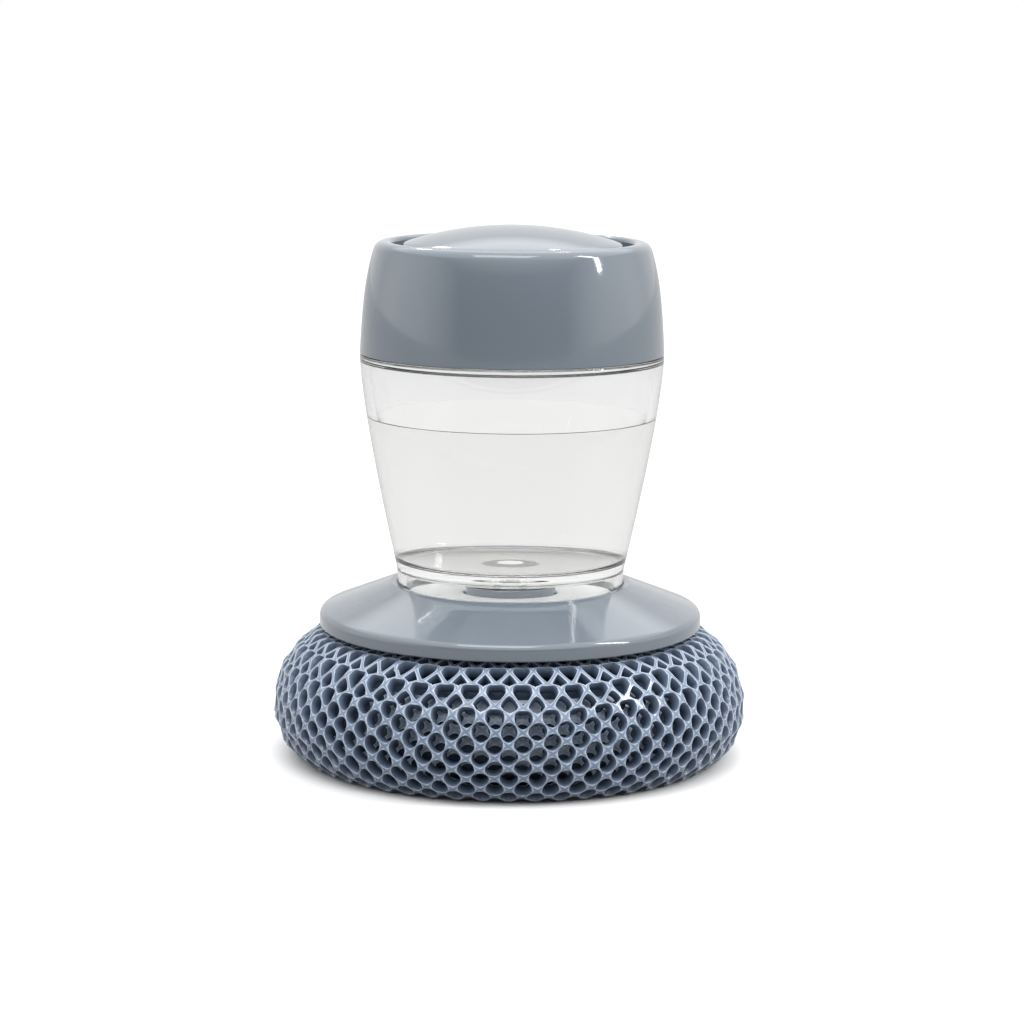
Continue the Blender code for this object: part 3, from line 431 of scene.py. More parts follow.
def pick_vertices(test):
    """In edit mode, selects the vertices whose place passes the test."""
    mesh = bpy.context.object.data
    bm = bmesh.from_edit_mesh(mesh)
    bpy.ops.mesh.select_all(action="DESELECT")
    for vert in bm.verts:
        if test(vert.co):
            vert.select = True
    bm.select_flush_mode()
    bmesh.update_edit_mesh(mesh)


def trace_section(name, corners, closed=True):
    """Extrudes one vertex through the corners (radius, height, rounding) in millimetres."""
    start_fresh()
    bpy.ops.mesh.primitive_plane_add(size=MM)
    piece = name_piece(name)
    bpy.ops.object.mode_set(mode="EDIT")
    bpy.ops.mesh.select_mode(type="VERT")
    bpy.ops.mesh.merge(type="CENTER")
    places = [Vector((radius, 0, height)) * MM for radius, height, _ in corners]
    bpy.ops.transform.translate(value=places[0])
    for here, ahead in zip(places, places[1:]):
        bpy.ops.mesh.extrude_vertices_move(TRANSFORM_OT_translate={"value": ahead - here})
    if closed:
        pick_vertices(lambda co: min((co - places[0]).length, (co - places[-1]).length) < SAME_PLACE)
        bpy.ops.mesh.edge_face_add()
    for i, (_, _, rounding) in enumerate(corners):
        if rounding:
            here = places[i]
            back = places[i - 1] - here
            ahead = places[(i + 1) % len(places)] - here
            reach = rounding * MM / math.tan(back.angle(ahead) / 2)
            pick_vertices(lambda co: (co - here).length < SAME_PLACE)
            bpy.ops.mesh.bevel(offset=reach, segments=2 + round(3 * rounding**0.5), affect="VERTICES")
    return piece


def pick_pieces(*pieces):
    """Selects these pieces alone and makes the first one active."""
    start_fresh()
    for piece in pieces:
        piece.select_set(True)
    bpy.context.view_layer.objects.active = pieces[0]


def finish_piece(piece, body, finish, smooth_angle=38):
    """Smooths a piece, gives it its finish and lets it ride on its body."""
    pick_pieces(piece)
    apply_place()
    bpy.ops.object.shade_smooth_by_angle(angle=math.radians(smooth_angle))
    piece.data.materials.clear()
    piece.data.materials.append(finish)
    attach(piece, body)
    return piece


def close_and_turn_out():
    """In edit mode, merges doubles over the whole mesh and points its faces outwards."""
    bpy.ops.mesh.select_all(action="SELECT")
    bpy.ops.mesh.remove_doubles(threshold=DOUBLES)
    bpy.ops.mesh.normals_make_consistent(inside=False)


def spin_round(steps):
    """In edit mode, sweeps the whole mesh once round the brush's axis and closes the seam."""
    bpy.ops.mesh.select_all(action="SELECT")
    bpy.ops.mesh.spin(steps=steps, angle=math.tau, center=(0, 0, 0), axis=(0, 0, 1))
    close_and_turn_out()


def turn_piece(name, corners, body, finish, steps=FULL_STEPS, closed=True):
    """A whole turned piece: its section is traced, rounded, spun and finished."""
    piece = trace_section(name, corners, closed)
    spin_round(steps)
    finish_piece(piece, body, finish)
    flats = piece.modifiers.new("Flats", "WEIGHTED_NORMAL")
    flats.keep_sharp = True
    bpy.ops.object.modifier_apply(modifier="Flats")
    print(f"{name}: {piece.dimensions.x / MM:.1f} mm wide, {len(piece.data.polygons)} faces")
    return piece


def swept_side(start, start_handle, end_handle, end, count):
    """Points of a smooth side between two (radius, height) points, each with no rounding."""
    first, last = Vector(start), Vector(end)
    curve = interpolate_bezier(first, first + Vector(start_handle), last + Vector(end_handle), last, count)
    return [(point.x, point.y, 0) for point in curve]


# %% [markdown]
# ## The cap
# The cap swells slightly towards its open end and turns over at the top into a soft rim, and the
# button sits in the well inside that rim. The side is a long curve, so it is drawn as a Bezier and
# not as a cone: a glossy cone would show a straight reflection where the real cap bends it.

# %% Turn the cap shell
CAP_EDGE = (26.843, 71.75)
cap_side = swept_side((24.649, 89.2), (1.39, -4.89), (-0.41, 7.68), CAP_EDGE, 18)
cap_section = [
    (21.3, 91.3, 0.75),
    (24.05, 91.3, 1.7),
    *cap_side[:-1],
    (*CAP_EDGE, 0.18),
    (24.743, 71.75, 0.2),
    (24.743, 79.6, 0),
    (23.893, 79.6, 0),
    (23.893, 86.6, 0),
    (19.65, 86.6, 0.15),
    (19.65, 88.0, 0.15),
    (21.3, 88.0, 0.3),
]
cap = turn_piece("cap_body", cap_section, "cap", grey_gloss)
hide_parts("cap_shell")

# %% [markdown]
# The button is a shallow dome with a small rounded edge. Its skirt runs down through the guide in
# the cap, and a flange under that guide keeps it from popping out.

# %% Turn the press button
BUTTON_RADIUS = 19.3
BUTTON_RISE = 3.2
BUTTON_TOP = 94.1
BUTTON_WALL = 1.6
dome_radius = (BUTTON_RADIUS**2 + BUTTON_RISE**2) / (2 * BUTTON_RISE)


def dome_points(start, end, count, top):
    """Points of the dome under that top, from one radius to another, each with no rounding."""
    radii = [start + (end - start) * k / count for k in range(count + 1)]
    return [(radius, top - dome_radius + math.sqrt(dome_radius**2 - radius**2), 0) for radius in radii]


button_section = [
    *dome_points(0, 18.9, 20, BUTTON_TOP),
    (19.18, 90.78, 0),
    (19.27, 90.6, 0),
    (BUTTON_RADIUS, 90.3, 0),
    (BUTTON_RADIUS, 86.3, 0.15),
    (20.9, 86.3, 0.2),
    (20.9, 85.1, 0.2),
    (17.7, 85.1, 0),
    *dome_points(17.7, 3.5, 8, BUTTON_TOP - BUTTON_WALL),
    (3.5, 91.1, 0.2),
    (0, 91.1, 0),
]
button = turn_piece("button_body", button_section, "button", grey_gloss, closed=False)
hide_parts("press_button")

# %% [markdown]
# ## The base flange
# The base slopes down from the seat of the reservoir to a rounded edge, and a short skirt hides the
# top of the net. Ribs under the slope keep such a thin moulding stiff, and they show when the head
# is unscrewed, so one rib is modelled and copied round.

# %% Turn the base flange and its ribs
flange_section = [
    (20.15, 30.9, 0.25),
    (21.25, 30.9, 0.5),
    (33.96, 25.9, 1.3),
    (33.96, 23.2, 0.35),
    (31.96, 23.2, 0.2),
    (31.96, 24.55, 0),
    (24.9, 27.4, 0),
    (4.85, 27.4, 0),
    (4.85, 31.2, 0.2),
    (8.0, 31.2, 0.3),
    (8.0, 29.3, 0.2),
    (20.15, 29.3, 0.2),
]
flange = turn_piece("flange_body", flange_section, "base", grey_gloss)
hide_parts("base_flange")

RIBS = 12
RIB_PLACE = (0.0286, 0, 0.0254)
RIB_SIZE = (6.9, 0.95, 1.0)
RIB_CLEARANCE = 0.0002
RIB_CLIMB = 0.0028

start_fresh()
bpy.ops.mesh.primitive_cube_add(size=MM, location=RIB_PLACE)
rib = name_piece("flange_ribs")
bpy.ops.object.mode_set(mode="EDIT")
bpy.ops.transform.resize(value=RIB_SIZE)
pick_vertices(lambda co: co.z > 0)
bpy.ops.transform.translate(value=(0, 0, -RIB_CLEARANCE))
pick_vertices(lambda co: co.z > 0 and co.x < 0)
bpy.ops.transform.translate(value=(0, 0, RIB_CLIMB))
bpy.ops.mesh.select_all(action="SELECT")
bpy.ops.mesh.bevel(offset=0.12 * MM, segments=2, affect="EDGES")
bpy.ops.object.mode_set(mode="OBJECT")
apply_place()
edit_all()
bpy.ops.mesh.spin(
    steps=RIBS, dupli=True, angle=math.tau * (RIBS - 1) / RIBS, center=(0, 0, 0), axis=(0, 0, 1)
)
finish_piece(rib, "base", grey_gloss)
print("rib corners:", len(rib.data.vertices))

# %% [markdown]
# ## The clear reservoir
# The reservoir is one clear moulding: a foot ring, a thick floor with the outlet nozzle under it, a
# swelling side and the neck that the cap screws on. Both faces of its wall are modelled, because
# the double line that a clear wall shows at its edges comes from light bending twice.

# %% Turn the reservoir
CUP_WALL = 1.70
CUP_FLOOR_RADIUS = 19.0
CUP_FLOOR_LEVEL = 35.1
CUP_FLOOR_ROUNDING = 1.2
SIDE_BOTTOM = 37.2
SIDE_TOP = 69.6
outer_side = swept_side((26.843, 71.45), (-0.379, -10.25), (1.227, 5.31), (20.24, 33.5), 24)
inner_side = [
    (radius - CUP_WALL, height, 0) for radius, height, _ in outer_side if SIDE_BOTTOM < height < SIDE_TOP
]
reservoir_section = [
    (24.39, 77.7, 0.3),
    (24.39, 71.68, 0.2),
    (26.83, 71.68, 0.45),
    *outer_side[1:],
    (20.0, 29.6, 0.4),
    (18.4, 29.6, 0.3),
    (18.4, 33.5, 0.5),
    (4.5, 33.5, 0.3),
    (4.5, 20.0, 0.2),
    (1.95, 20.0, 0.2),
    (1.95, CUP_FLOOR_LEVEL, 0.4),
    (CUP_FLOOR_RADIUS, CUP_FLOOR_LEVEL, CUP_FLOOR_ROUNDING),
    *reversed(inner_side),
    (25.0, 70.5, 0.3),
    (22.59, 70.5, 0.15),
    (22.59, 77.7, 0.3),
]
reservoir = turn_piece("reservoir_body", reservoir_section, "base", clear_acrylic)
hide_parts("reservoir")

# %% [markdown]
# The soap is modelled as its own closed body. It reaches a hair into the wall, so that light passes
# from acrylic to soap without an air gap between them, and its surface climbs slightly at the wall.

# %% Fill in the soap
SOAP_LEVEL = 60.6
SOAP_OVERLAP = 0.04
soap_side = [
    (radius + SOAP_OVERLAP, height, 0) for radius, height, _ in inner_side if height < SOAP_LEVEL - 1
]
soap_radius = soap_side[0][0] + 0.35
soap_floor = CUP_FLOOR_LEVEL - SOAP_OVERLAP
soap_section = [
    (0, SOAP_LEVEL, 0),
    (soap_radius - 0.7, SOAP_LEVEL, 0),
    (soap_radius - 0.2, SOAP_LEVEL + 0.06, 0),
    (soap_radius, SOAP_LEVEL + 0.2, 0),
    *soap_side,
    (CUP_FLOOR_RADIUS + SOAP_OVERLAP, soap_floor, CUP_FLOOR_ROUNDING),
    (0, soap_floor, 0),
]
turn_piece("soap_fill", soap_section, "base", clear_soap, closed=False)

# %% [markdown]
# ## Threads
# The cap and the head screw on, with a lead of 6 mm per turn. A thread is a small section carried
# along a helix, which the Screw modifier does exactly. The ridges stay inside the clearance between
# the walls, so they show when the cap or the head is off and never cut into the other piece.

# %% Wind the threads
THREAD_LEAD = 0.006
THREAD_STARTS = 2
THREAD_TAPER = 0.4


def wind_thread(name, radius, bottom, ridge, thickness, turns, body, finish):
    """Low tapered ridges, wound round a wall of that radius from the height bottom upwards."""
    made = []
    for start in range(THREAD_STARTS):
        start_fresh()
        bpy.ops.mesh.primitive_plane_add(size=MM, rotation=(math.pi / 2, 0, 0))
        piece = name_piece(name)
        apply_place()
        bpy.ops.object.mode_set(mode="EDIT")
        bpy.ops.transform.resize(value=(2 * ridge, 1, thickness))
        pick_vertices(lambda co: co.x > 0)
        bpy.ops.transform.resize(value=(1, 1, THREAD_TAPER))
        bpy.ops.mesh.select_all(action="SELECT")
        bpy.ops.transform.translate(value=(radius * MM, 0, bottom * MM))
        bpy.ops.transform.rotate(
            value=math.tau * start / THREAD_STARTS, orient_axis="Z", center_override=(0, 0, 0)
        )
        bpy.ops.object.mode_set(mode="OBJECT")
        helix = piece.modifiers.new("Helix", "SCREW")
        helix.angle = math.tau * turns
        helix.screw_offset = THREAD_LEAD * turns
        helix.steps = helix.render_steps = round(72 * turns)
        bpy.ops.object.modifier_apply(modifier="Helix")
        bpy.ops.object.mode_set(mode="EDIT")
        close_and_turn_out()
        bpy.ops.object.mode_set(mode="OBJECT")
        made.append(piece)
    pick_pieces(*made)
    bpy.ops.object.join()
    finish_piece(made[0], body, finish)
    print(f"{name}: {len(made[0].data.polygons)} faces")


wind_thread("neck_thread", 24.39, 73.0, 0.24, 0.9, 0.6, "base", clear_acrylic)
wind_thread("socket_thread", 11.30, 19.9, 0.24, 0.8, 0.75, "base", white_satin)

# %% [markdown]
# ## Spring and bellows
# Under the button a coil spring returns it and a rubber bellows pumps the soap down. Both get
# shorter as the button goes in.

# %% Coil the return spring
WIRE_RADIUS = 0.00045
WIRE_SIDES = 12
COILS = 4
COIL_STEPS = 60
spring_low, spring_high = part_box("button_spring")
spring_span = spring_high.z - spring_low.z

start_fresh()
bpy.ops.mesh.primitive_circle_add(
    vertices=WIRE_SIDES,
    radius=WIRE_RADIUS,
    location=(spring_high.x - WIRE_RADIUS, 0, spring_low.z + WIRE_RADIUS),
    rotation=(math.pi / 2, 0, 0),
)
spring = name_piece("return_spring")
apply_place()
coil = spring.modifiers.new("Coil", "SCREW")
coil.angle = COILS * math.tau
coil.screw_offset = spring_span - 2 * WIRE_RADIUS
coil.steps = coil.render_steps = COILS * COIL_STEPS
bpy.ops.object.modifier_apply(modifier="Coil")
edit_all()
bpy.ops.mesh.fill_holes(sides=WIRE_SIDES)
close_and_turn_out()
finish_piece(spring, "cap", spring_wire)
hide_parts("button_spring")
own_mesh(spring)
print("spring height in mm:", round(spring_span / MM, 2))

# %% Turn the rubber bellows
FOLD_OUTER = 11.0
FOLD_INNER = 8.6
RUBBER_WALL = 0.8
RUBBER_FLANGE = 1.0
bellows_low, bellows_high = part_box("pump_bellows")
base_level = bellows_low.z / MM
top_level = bellows_high.z / MM
flange_edge = bellows_high.x / MM
fold = (top_level - base_level - RUBBER_FLANGE) / 4
folds = [((FOLD_INNER, FOLD_OUTER)[k % 2], top_level - k * fold, 0.35) for k in range(4)]
bellows_section = [
    (0, top_level, 0),
    *folds,
    (FOLD_INNER, base_level + RUBBER_FLANGE, 0.3),
    (flange_edge, base_level + RUBBER_FLANGE, 0.2),
    (flange_edge, base_level, 0.1),
    (FOLD_INNER - RUBBER_WALL, base_level, 0.1),
    *[(radius - RUBBER_WALL, height, rounding) for radius, height, rounding in folds[:0:-1]],
    (FOLD_INNER - RUBBER_WALL, top_level - RUBBER_WALL, 0.2),
    (0, top_level - RUBBER_WALL, 0),
]
bellows = turn_piece(
    "bellows_body", bellows_section, "cap", milky_rubber, steps=64, closed=False
)
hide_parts("pump_bellows")
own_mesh(bellows)

# %% [markdown]
# ## Screws
# Four countersunk screws hold the socket plate. Only their heads show, up inside the base when the
# head is off, so one screw is modelled with a cross recess and copied. The recess is made by
# pushing a small cross of faces into the flat of the head.

# %% Make the screws
SCREWS = 4
HEAD_WIDTH = 2.4 * MM
CROSS_HALF_WIDTH = 0.25 * MM
CROSS_REACH = 0.95 * MM
CROSS_DEPTH = 0.6 * MM
CROSS_CHAMFER = 0.06 * MM
screw_low, screw_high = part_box("base_screw_1")
screw_place = Vector(((screw_low.x + screw_high.x) / 2, 0, screw_low.z))

start_fresh()
bpy.ops.mesh.primitive_grid_add(x_subdivisions=7, y_subdivisions=7, size=HEAD_WIDTH)
screw = name_piece("screw_head_1")
bpy.ops.object.mode_set(mode="EDIT")
bpy.ops.mesh.select_mode(type="VERT")
pick_vertices(
    lambda co: min(abs(co.x), abs(co.y)) < CROSS_HALF_WIDTH and max(abs(co.x), abs(co.y)) < CROSS_REACH
)
bpy.ops.mesh.select_mode(type="FACE")
bpy.ops.mesh.inset(thickness=CROSS_CHAMFER)
bpy.ops.transform.translate(value=(0, 0, CROSS_DEPTH))
bpy.ops.mesh.select_mode(type="VERT")
pick_vertices(lambda co: max(abs(co.x), abs(co.y)) > 0.49 * HEAD_WIDTH)
bpy.ops.transform.tosphere(value=1.0)

# %% Draw the heads out to shanks and copy them
# Each step has its scale and its rise in millimetres: flat, edge, cone, shank and tip.
SCREW_STEPS = [(1.14, 0.0), (1.0, 0.12), (0.50, 0.85), (0.98, 1.9), (0.55, 0.5)]

bm = bmesh.from_edit_mesh(screw.data)
bpy.ops.mesh.select_all(action="DESELECT")
for edge in bm.edges:
    edge.select = edge.is_boundary
bmesh.update_edit_mesh(screw.data)
for scale, rise in SCREW_STEPS:
    bpy.ops.mesh.extrude_edges_move(TRANSFORM_OT_translate={"value": (0, 0, rise * MM)})
    bpy.ops.transform.resize(value=(scale, scale, 1))
bpy.ops.mesh.edge_face_add()
close_and_turn_out()
bpy.ops.transform.translate(value=screw_place)
screws = [screw]
for k in range(1, SCREWS):
    pick_pieces(screw)
    bpy.ops.object.duplicate()
    screws.append(name_piece(f"screw_head_{k + 1}"))
    edit_all()
    bpy.ops.transform.rotate(value=-math.tau * k / SCREWS, orient_axis="Z", center_override=(0, 0, 0))
for k, piece in enumerate(screws):
    finish_piece(piece, "base", screw_steel, 30)
    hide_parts(f"base_screw_{k + 1}")
print("screw size in mm:", [round(d / MM, 2) for d in screw.dimensions])

# %% [markdown]
# ## The net: laying out its cells
# The net is a knitted tube of thick plastic yarn, pulled over the head and gathered below. Stretched
# like that, its openings become round cells in staggered rows. The layout starts from the head's own
# profile, spun in as many columns as the net has stitches. Poking each face and dissolving the old
# edges turns the squares into diamonds that are staggered, which is the layout of the real cells.

# %% Lay out the staggered cells
CELLS_AROUND = 54
CELL_HEIGHT = 4.1
HEAD_RADIUS = 42.0
EVEN_RADIUS = 33.0
GATHERED_ROWS = 4
HEM_EDGE = (31.51, 23.2)
WIDEST = (HEAD_RADIUS, 8.6)
FLAT_EDGE = (37.0, 0.0)


def even_points(points, step):
    """Points at equal steps along a polyline."""
    lengths = np.cumsum([0.0, *[math.dist(a, b) for a, b in zip(points, points[1:])]])
    at = np.linspace(0, lengths[-1], round(lengths[-1] / step) + 1)
    radii, heights = zip(*points)
    return [(float(np.interp(s, lengths, radii)), float(np.interp(s, lengths, heights))) for s in at]


def gathered_rows(yarn):
    """Rows under the head: the columns close up and the yarn keeps its length, so cells get longer."""
    rows = [EVEN_RADIUS]
    for _ in range(GATHERED_ROWS):
        rows.append(rows[-1] - 2 * math.sqrt(yarn**2 - (math.pi * rows[-1] / CELLS_AROUND) ** 2))
    return [(radius, 0.0) for radius in rows]


upper_side = swept_side(HEM_EDGE, (5.75, -1.98), (0, 7.59), WIDEST, 40)
lower_side = swept_side(WIDEST, (0, -3.53), (1.85, 0), FLAT_EDGE, 24)
top_edge = [(26.45, 23.45), (28.5, 23.45)]
head_side = top_edge + [(radius, height) for radius, height, _ in upper_side + lower_side[1:]]
under_rows = gathered_rows(math.hypot(math.pi * HEAD_RADIUS / CELLS_AROUND, CELL_HEIGHT / 2))
head_profile = [*head_side, under_rows[-1]]

# %% Spin the layout


def spin_net(name, points):
    """Spins a profile in one column per stitch, and turns its squares into staggered diamonds."""
    piece = trace_section(name, [(*point, 0) for point in points], closed=False)
    spin_round(CELLS_AROUND)
    corner_count = len(bmesh.from_edit_mesh(piece.data).verts)
    bpy.ops.mesh.poke()
    bm = bmesh.from_edit_mesh(piece.data)
    bpy.ops.mesh.select_all(action="DESELECT")
    for edge in bm.edges:
        edge.select = not edge.is_boundary and all(vert.index < corner_count for vert in edge.verts)
    bmesh.update_edit_mesh(piece.data)
    bpy.ops.mesh.dissolve_edges(use_verts=False)
    return piece, corner_count


net_rows = even_points([*head_side, under_rows[0]], CELL_HEIGHT) + under_rows[1:]
net, first_middle = spin_net("net_cells", net_rows)
print("net diamonds:", len(bmesh.from_edit_mesh(net.data).faces), "knots:", first_middle)

# %% [markdown]
# ## The net: from a flat layout to yarn
# The real net is not an even grid. Its rows wander a little, the top rows are pulled into teardrops
# with small triangles between them, and every second knot stands proud. Each corner is therefore
# moved in the net's own directions: along the head's profile and out of its surface.

# %% Move the corners as the real net is pulled
PROUD_KNOT = 0.28
SUNK_KNOT = -0.10
PULL_DOWN = 0.15
PULL_END = 13.5
PULL_FADE = 6.0
HEM_SINK = 0.6
HEM_SINK_REACH = 2.5
WANDER = 0.40
RIPPLE = 0.28
JITTER = 0.09
EDGE_FADE = 4
PROFILE_STEP = 0.1

fine = np.array(even_points(head_profile, PROFILE_STEP))
fine_step = math.dist(fine[0], fine[1])
along = np.gradient(fine, axis=0)
along /= np.linalg.norm(along, axis=1)[:, None]
outward = np.column_stack([-along[:, 1], along[:, 0]])


def clamp(value):
    """The value, held between 0 and 1."""
    return min(max(value, 0), 1)


def profile_index(radius, height):
    """Which fine point of the profile is nearest to a radius and height in millimetres."""
    return int(np.argmin(((fine - np.array([radius, height])) ** 2).sum(axis=1)))


def find_on_head(co):
    """How far down the profile a place is, in millimetres, and its angle round the axis."""
    nearest = profile_index(math.hypot(co.x, co.y) / MM, co.z / MM)
    return nearest * fine_step, math.atan2(co.y, co.x)


def place_on_head(distance, angle, height):
    """The place at a distance down the profile, an angle and a height over the surface."""
    i = min(max(distance / fine_step, 0), len(fine) - 1.001)
    low, share = int(i), i - int(i)
    radius, level = fine[low] * (1 - share) + fine[low + 1] * share + outward[low] * height
    return Vector((radius * math.cos(angle), radius * math.sin(angle), max(level, 0.0))) * MM


hem_length = profile_index(*HEM_EDGE) * fine_step
flat_start = profile_index(*FLAT_EDGE) * fine_step


def pulled(distance):
    """How strongly the hem pulls on the net there: 1 in the first rows and 0 further down."""
    return clamp((PULL_END - distance + hem_length) / PULL_FADE)


generator = np.random.default_rng(7)
bm = bmesh.from_edit_mesh(net.data)
for vert in bm.verts:
    distance, angle = find_on_head(vert.co)
    is_middle = vert.index >= first_middle
    shown = clamp((distance - hem_length) / EDGE_FADE) * clamp((flat_start - distance) / EDGE_FADE)
    wander = WANDER * math.sin(3 * angle + 0.7) + RIPPLE * math.sin(7 * angle + distance * 0.35)
    jitter = generator.normal(0, JITTER, 3)
    if 0 < distance < fine_step * (len(fine) - 2):
        distance += shown * (wander + jitter[0]) + (PULL_DOWN * pulled(distance) * shown if is_middle else 0)
        angle += shown * jitter[1] / HEAD_RADIUS
    angle += math.pi / CELLS_AROUND
    height = shown * ((SUNK_KNOT if is_middle else PROUD_KNOT) + jitter[2])
    height -= HEM_SINK * clamp(1 - abs(distance - hem_length - 1) / HEM_SINK_REACH)
    vert.co = place_on_head(distance, angle, height)
bmesh.update_edit_mesh(net.data)
print("hem in mm:", round(hem_length, 1), "flat from mm:", round(flat_start, 1))

# %% [markdown]
# Each diamond now becomes a cell. Its sides are divided, so that its opening can be round, and it is
# inset three times: for the flat face of the yarn, for a narrow chamfer that catches the light, and
# for the deep funnel that such a thick net has. An oval touches the sides of a diamond in their
# middles and stays away from its corners, and the same rule pulls a kite into a teardrop. Each kind
# of cell has five numbers: how far its opening reaches to the side corners, to the blunt end and to
# the pointed end, and how full the curve is at those two ends.

# %% Make the helpers for cells
SIDE_DIVISIONS = 4
EVEN_CELL = np.array([0.66, 0.77, 0.77, 1.9, 1.9])
TEARDROP = np.array([0.77, 0.86, 0.88, 1.45, 1.15])
TRIANGLE = np.array([0.64, 0.45, 0.80, 2.2, 1.1])
BULGE = 0.50
SLIM = 0.8


def selected_faces(bm):
    return [face for face in bm.faces if face.select]


def find_corners(face):
    """The corners of a face whose straight sides are divided, from one of its four real ones on."""
    verts = face.verts[:]
    sides = [(verts[(i + 1) % len(verts)].co - vert.co).normalized() for i, vert in enumerate(verts)]
    turns = [sides[i - 1].dot(sides[i]) for i in range(len(verts))]
    first = min(range(SIDE_DIVISIONS), key=lambda i: sum(turns[i::SIDE_DIVISIONS]))
    return verts[first:] + verts[:first]


def round_opening(face, kind, is_pointed_up):
    """Pulls a divided diamond in. The kind gives the shares of its sides, blunt end and pointed end."""
    verts = find_corners(face)
    corners = [vert.co.copy() for vert in verts[::SIDE_DIVISIONS]]
    middle = sum(corners, Vector()) / 4
    side = Vector((-middle.y, middle.x, 0)).normalized()
    up = face.normal.cross(side)
    is_side = [abs((corner - middle).dot(side)) > abs((corner - middle).dot(up)) for corner in corners]
    side_corners = [corner for corner, at_side in zip(corners, is_side) if at_side]
    centre = sum(side_corners, Vector()) / max(len(side_corners), 1)
    centre += face.normal * (middle - centre).dot(face.normal)
    is_pointed = [(corner.z > centre.z) == is_pointed_up for corner in corners]
    for i, vert in enumerate(verts):
        corner, along = divmod(i, SIDE_DIVISIONS)
        along /= SIDE_DIVISIONS
        pair = (corner, (corner + 1) % 4)
        to_point = any(is_pointed[k] for k in pair if not is_side[k])
        first, second = (kind[0] if is_side[k] else kind[2 if to_point else 1] for k in pair)
        power = kind[4 if to_point else 3]
        reach = (((1 - along) / first) ** power + (along / second) ** power) ** (-1 / power)
        vert.co = centre + (vert.co - centre) * reach


def narrow_opening(face, share):
    """Pulls the corners of a face towards its middle."""
    middle = face.calc_center_median()
    for vert in face.verts:
        vert.co = middle + (vert.co - middle) * share


def pulled_kind(face):
    """How far a cell is pulled out of shape: towards 1 for a triangle and towards -1 for a teardrop."""
    middle = face.calc_center_median()
    side = Vector((-middle.y, middle.x, 0)).normalized()
    ends = [vert for vert in face.verts if 0 <= vert.index < first_middle]
    is_triangle = all(abs((vert.co - middle).dot(side)) < SLIM * MM for vert in ends)
    return pulled(find_on_head(middle)[0]) * (1 if is_triangle else -1)


def bulge_sides(bm, corner_count):
    """Pushes the upper sides of the teardrops out, into the triangles above them."""
    for vert in [vert for vert in bm.verts if not 0 <= vert.index < corner_count]:
        kinds = sorted(((pulled_kind(face), face) for face in vert.link_faces), key=lambda kind: kind[0])
        teardrop, triangle = kinds[0], kinds[-1]
        if teardrop[0] < 0 < triangle[0] and vert.co.z > teardrop[1].calc_center_median().z:
            way = triangle[1].calc_center_median() - vert.co
            vert.co += way.normalized() * BULGE * MM * triangle[0]


# %% Open the cells
HAIR = 0.02
CHAMFER = 0.09
CHAMFER_END = 0.97
FUNNEL_DEPTH = 1.9
FUNNEL_END = 0.84
# The rim value of each loop sets how much painted highlight the yarn's finish puts there.
RIM_FADE = 0.2


def shape_inset(piece, shape, rim_value, depth=0.0):
    """Insets the selected cells by a hair, shapes each new opening and stores how near the rim it is."""
    bpy.ops.mesh.inset(thickness=HAIR * MM, depth=-depth * MM, use_individual=True)
    bm = bmesh.from_edit_mesh(piece.data)
    rim = bm.verts.layers.float["rim"]
    for i, face in enumerate(selected_faces(bm)):
        shape(i, face)
        for vert in face.verts:
            vert[rim] = rim_value
    bmesh.update_edit_mesh(piece.data)


def open_cells(piece, even_cell=EVEN_CELL, is_pulled=False, funnel_depth=0):
    """Turns each diamond into a round opening, with a funnel if asked. Returns how many there are."""
    bm = bmesh.from_edit_mesh(piece.data)
    corner_count = len(bm.verts)
    bmesh.ops.bisect_edges(bm, edges=bm.edges[:], cuts=SIDE_DIVISIONS - 1)
    if is_pulled:
        bulge_sides(bm, corner_count)
    bm.verts.layers.float.new("rim")
    bmesh.update_edit_mesh(piece.data)
    bpy.ops.mesh.select_mode(type="FACE")
    bpy.ops.mesh.select_all(action="DESELECT")
    bm = bmesh.from_edit_mesh(piece.data)
    for face in bm.faces:
        face.select = len(face.verts) == 4 * SIDE_DIVISIONS
    pulls = [pulled_kind(face) if is_pulled else 0 for face in selected_faces(bm)]
    bmesh.update_edit_mesh(piece.data)

    def round_cell(i, face):
        kind = TRIANGLE if pulls[i] > 0 else TEARDROP
        round_opening(face, even_cell + (kind - even_cell) * abs(pulls[i]), pulls[i] > 0)

    shape_inset(piece, round_cell, 1.0)
    if funnel_depth:
        shape_inset(piece, lambda i, face: narrow_opening(face, CHAMFER_END), RIM_FADE, CHAMFER)
        shape_inset(piece, lambda i, face: narrow_opening(face, FUNNEL_END), 0.0, funnel_depth - CHAMFER)
    bpy.ops.mesh.delete(type="FACE")
    bpy.ops.object.mode_set(mode="OBJECT")
    return len(pulls)


cells = open_cells(net, is_pulled=True, funnel_depth=FUNNEL_DEPTH)
print("cells:", cells, "faces:", len(net.data.polygons))

# %% [markdown]
# The yarn is painted pale on its thin rims, as a painted highlight, and painted dark deep in the
# funnels, as painted shade. A number that is stored on each corner, its depth under the head's
# surface, lets the finish follow that.

# %% Store the depth of every corner
DEEPEST = 2.2


# The stored depth drives the painted shade that darkens the yarn in its funnels.
def store_depth(piece, start):
    """Writes the attribute depth: 0 at a distance start under the surface and 1 at DEEPEST below it."""
    co = np.zeros(len(piece.data.vertices) * 3)
    piece.data.vertices.foreach_get("co", co)
    co = co.reshape(-1, 3) / MM
    places = np.column_stack([np.hypot(co[:, 0], co[:, 1]), co[:, 2]])
    nearest = np.array([profile_index(*place) for place in places])
    below = -((places - fine[nearest]) * outward[nearest]).sum(axis=1)
    depth = np.clip((below - start) / DEEPEST, 0, 1).astype(np.float32)
    piece.data.attributes.new("depth", "FLOAT", "POINT").data.foreach_set("value", depth)
    print("mean depth share:", round(float(depth.mean()), 2))


store_depth(net, 0.0)

# %% Build the yarn finishes


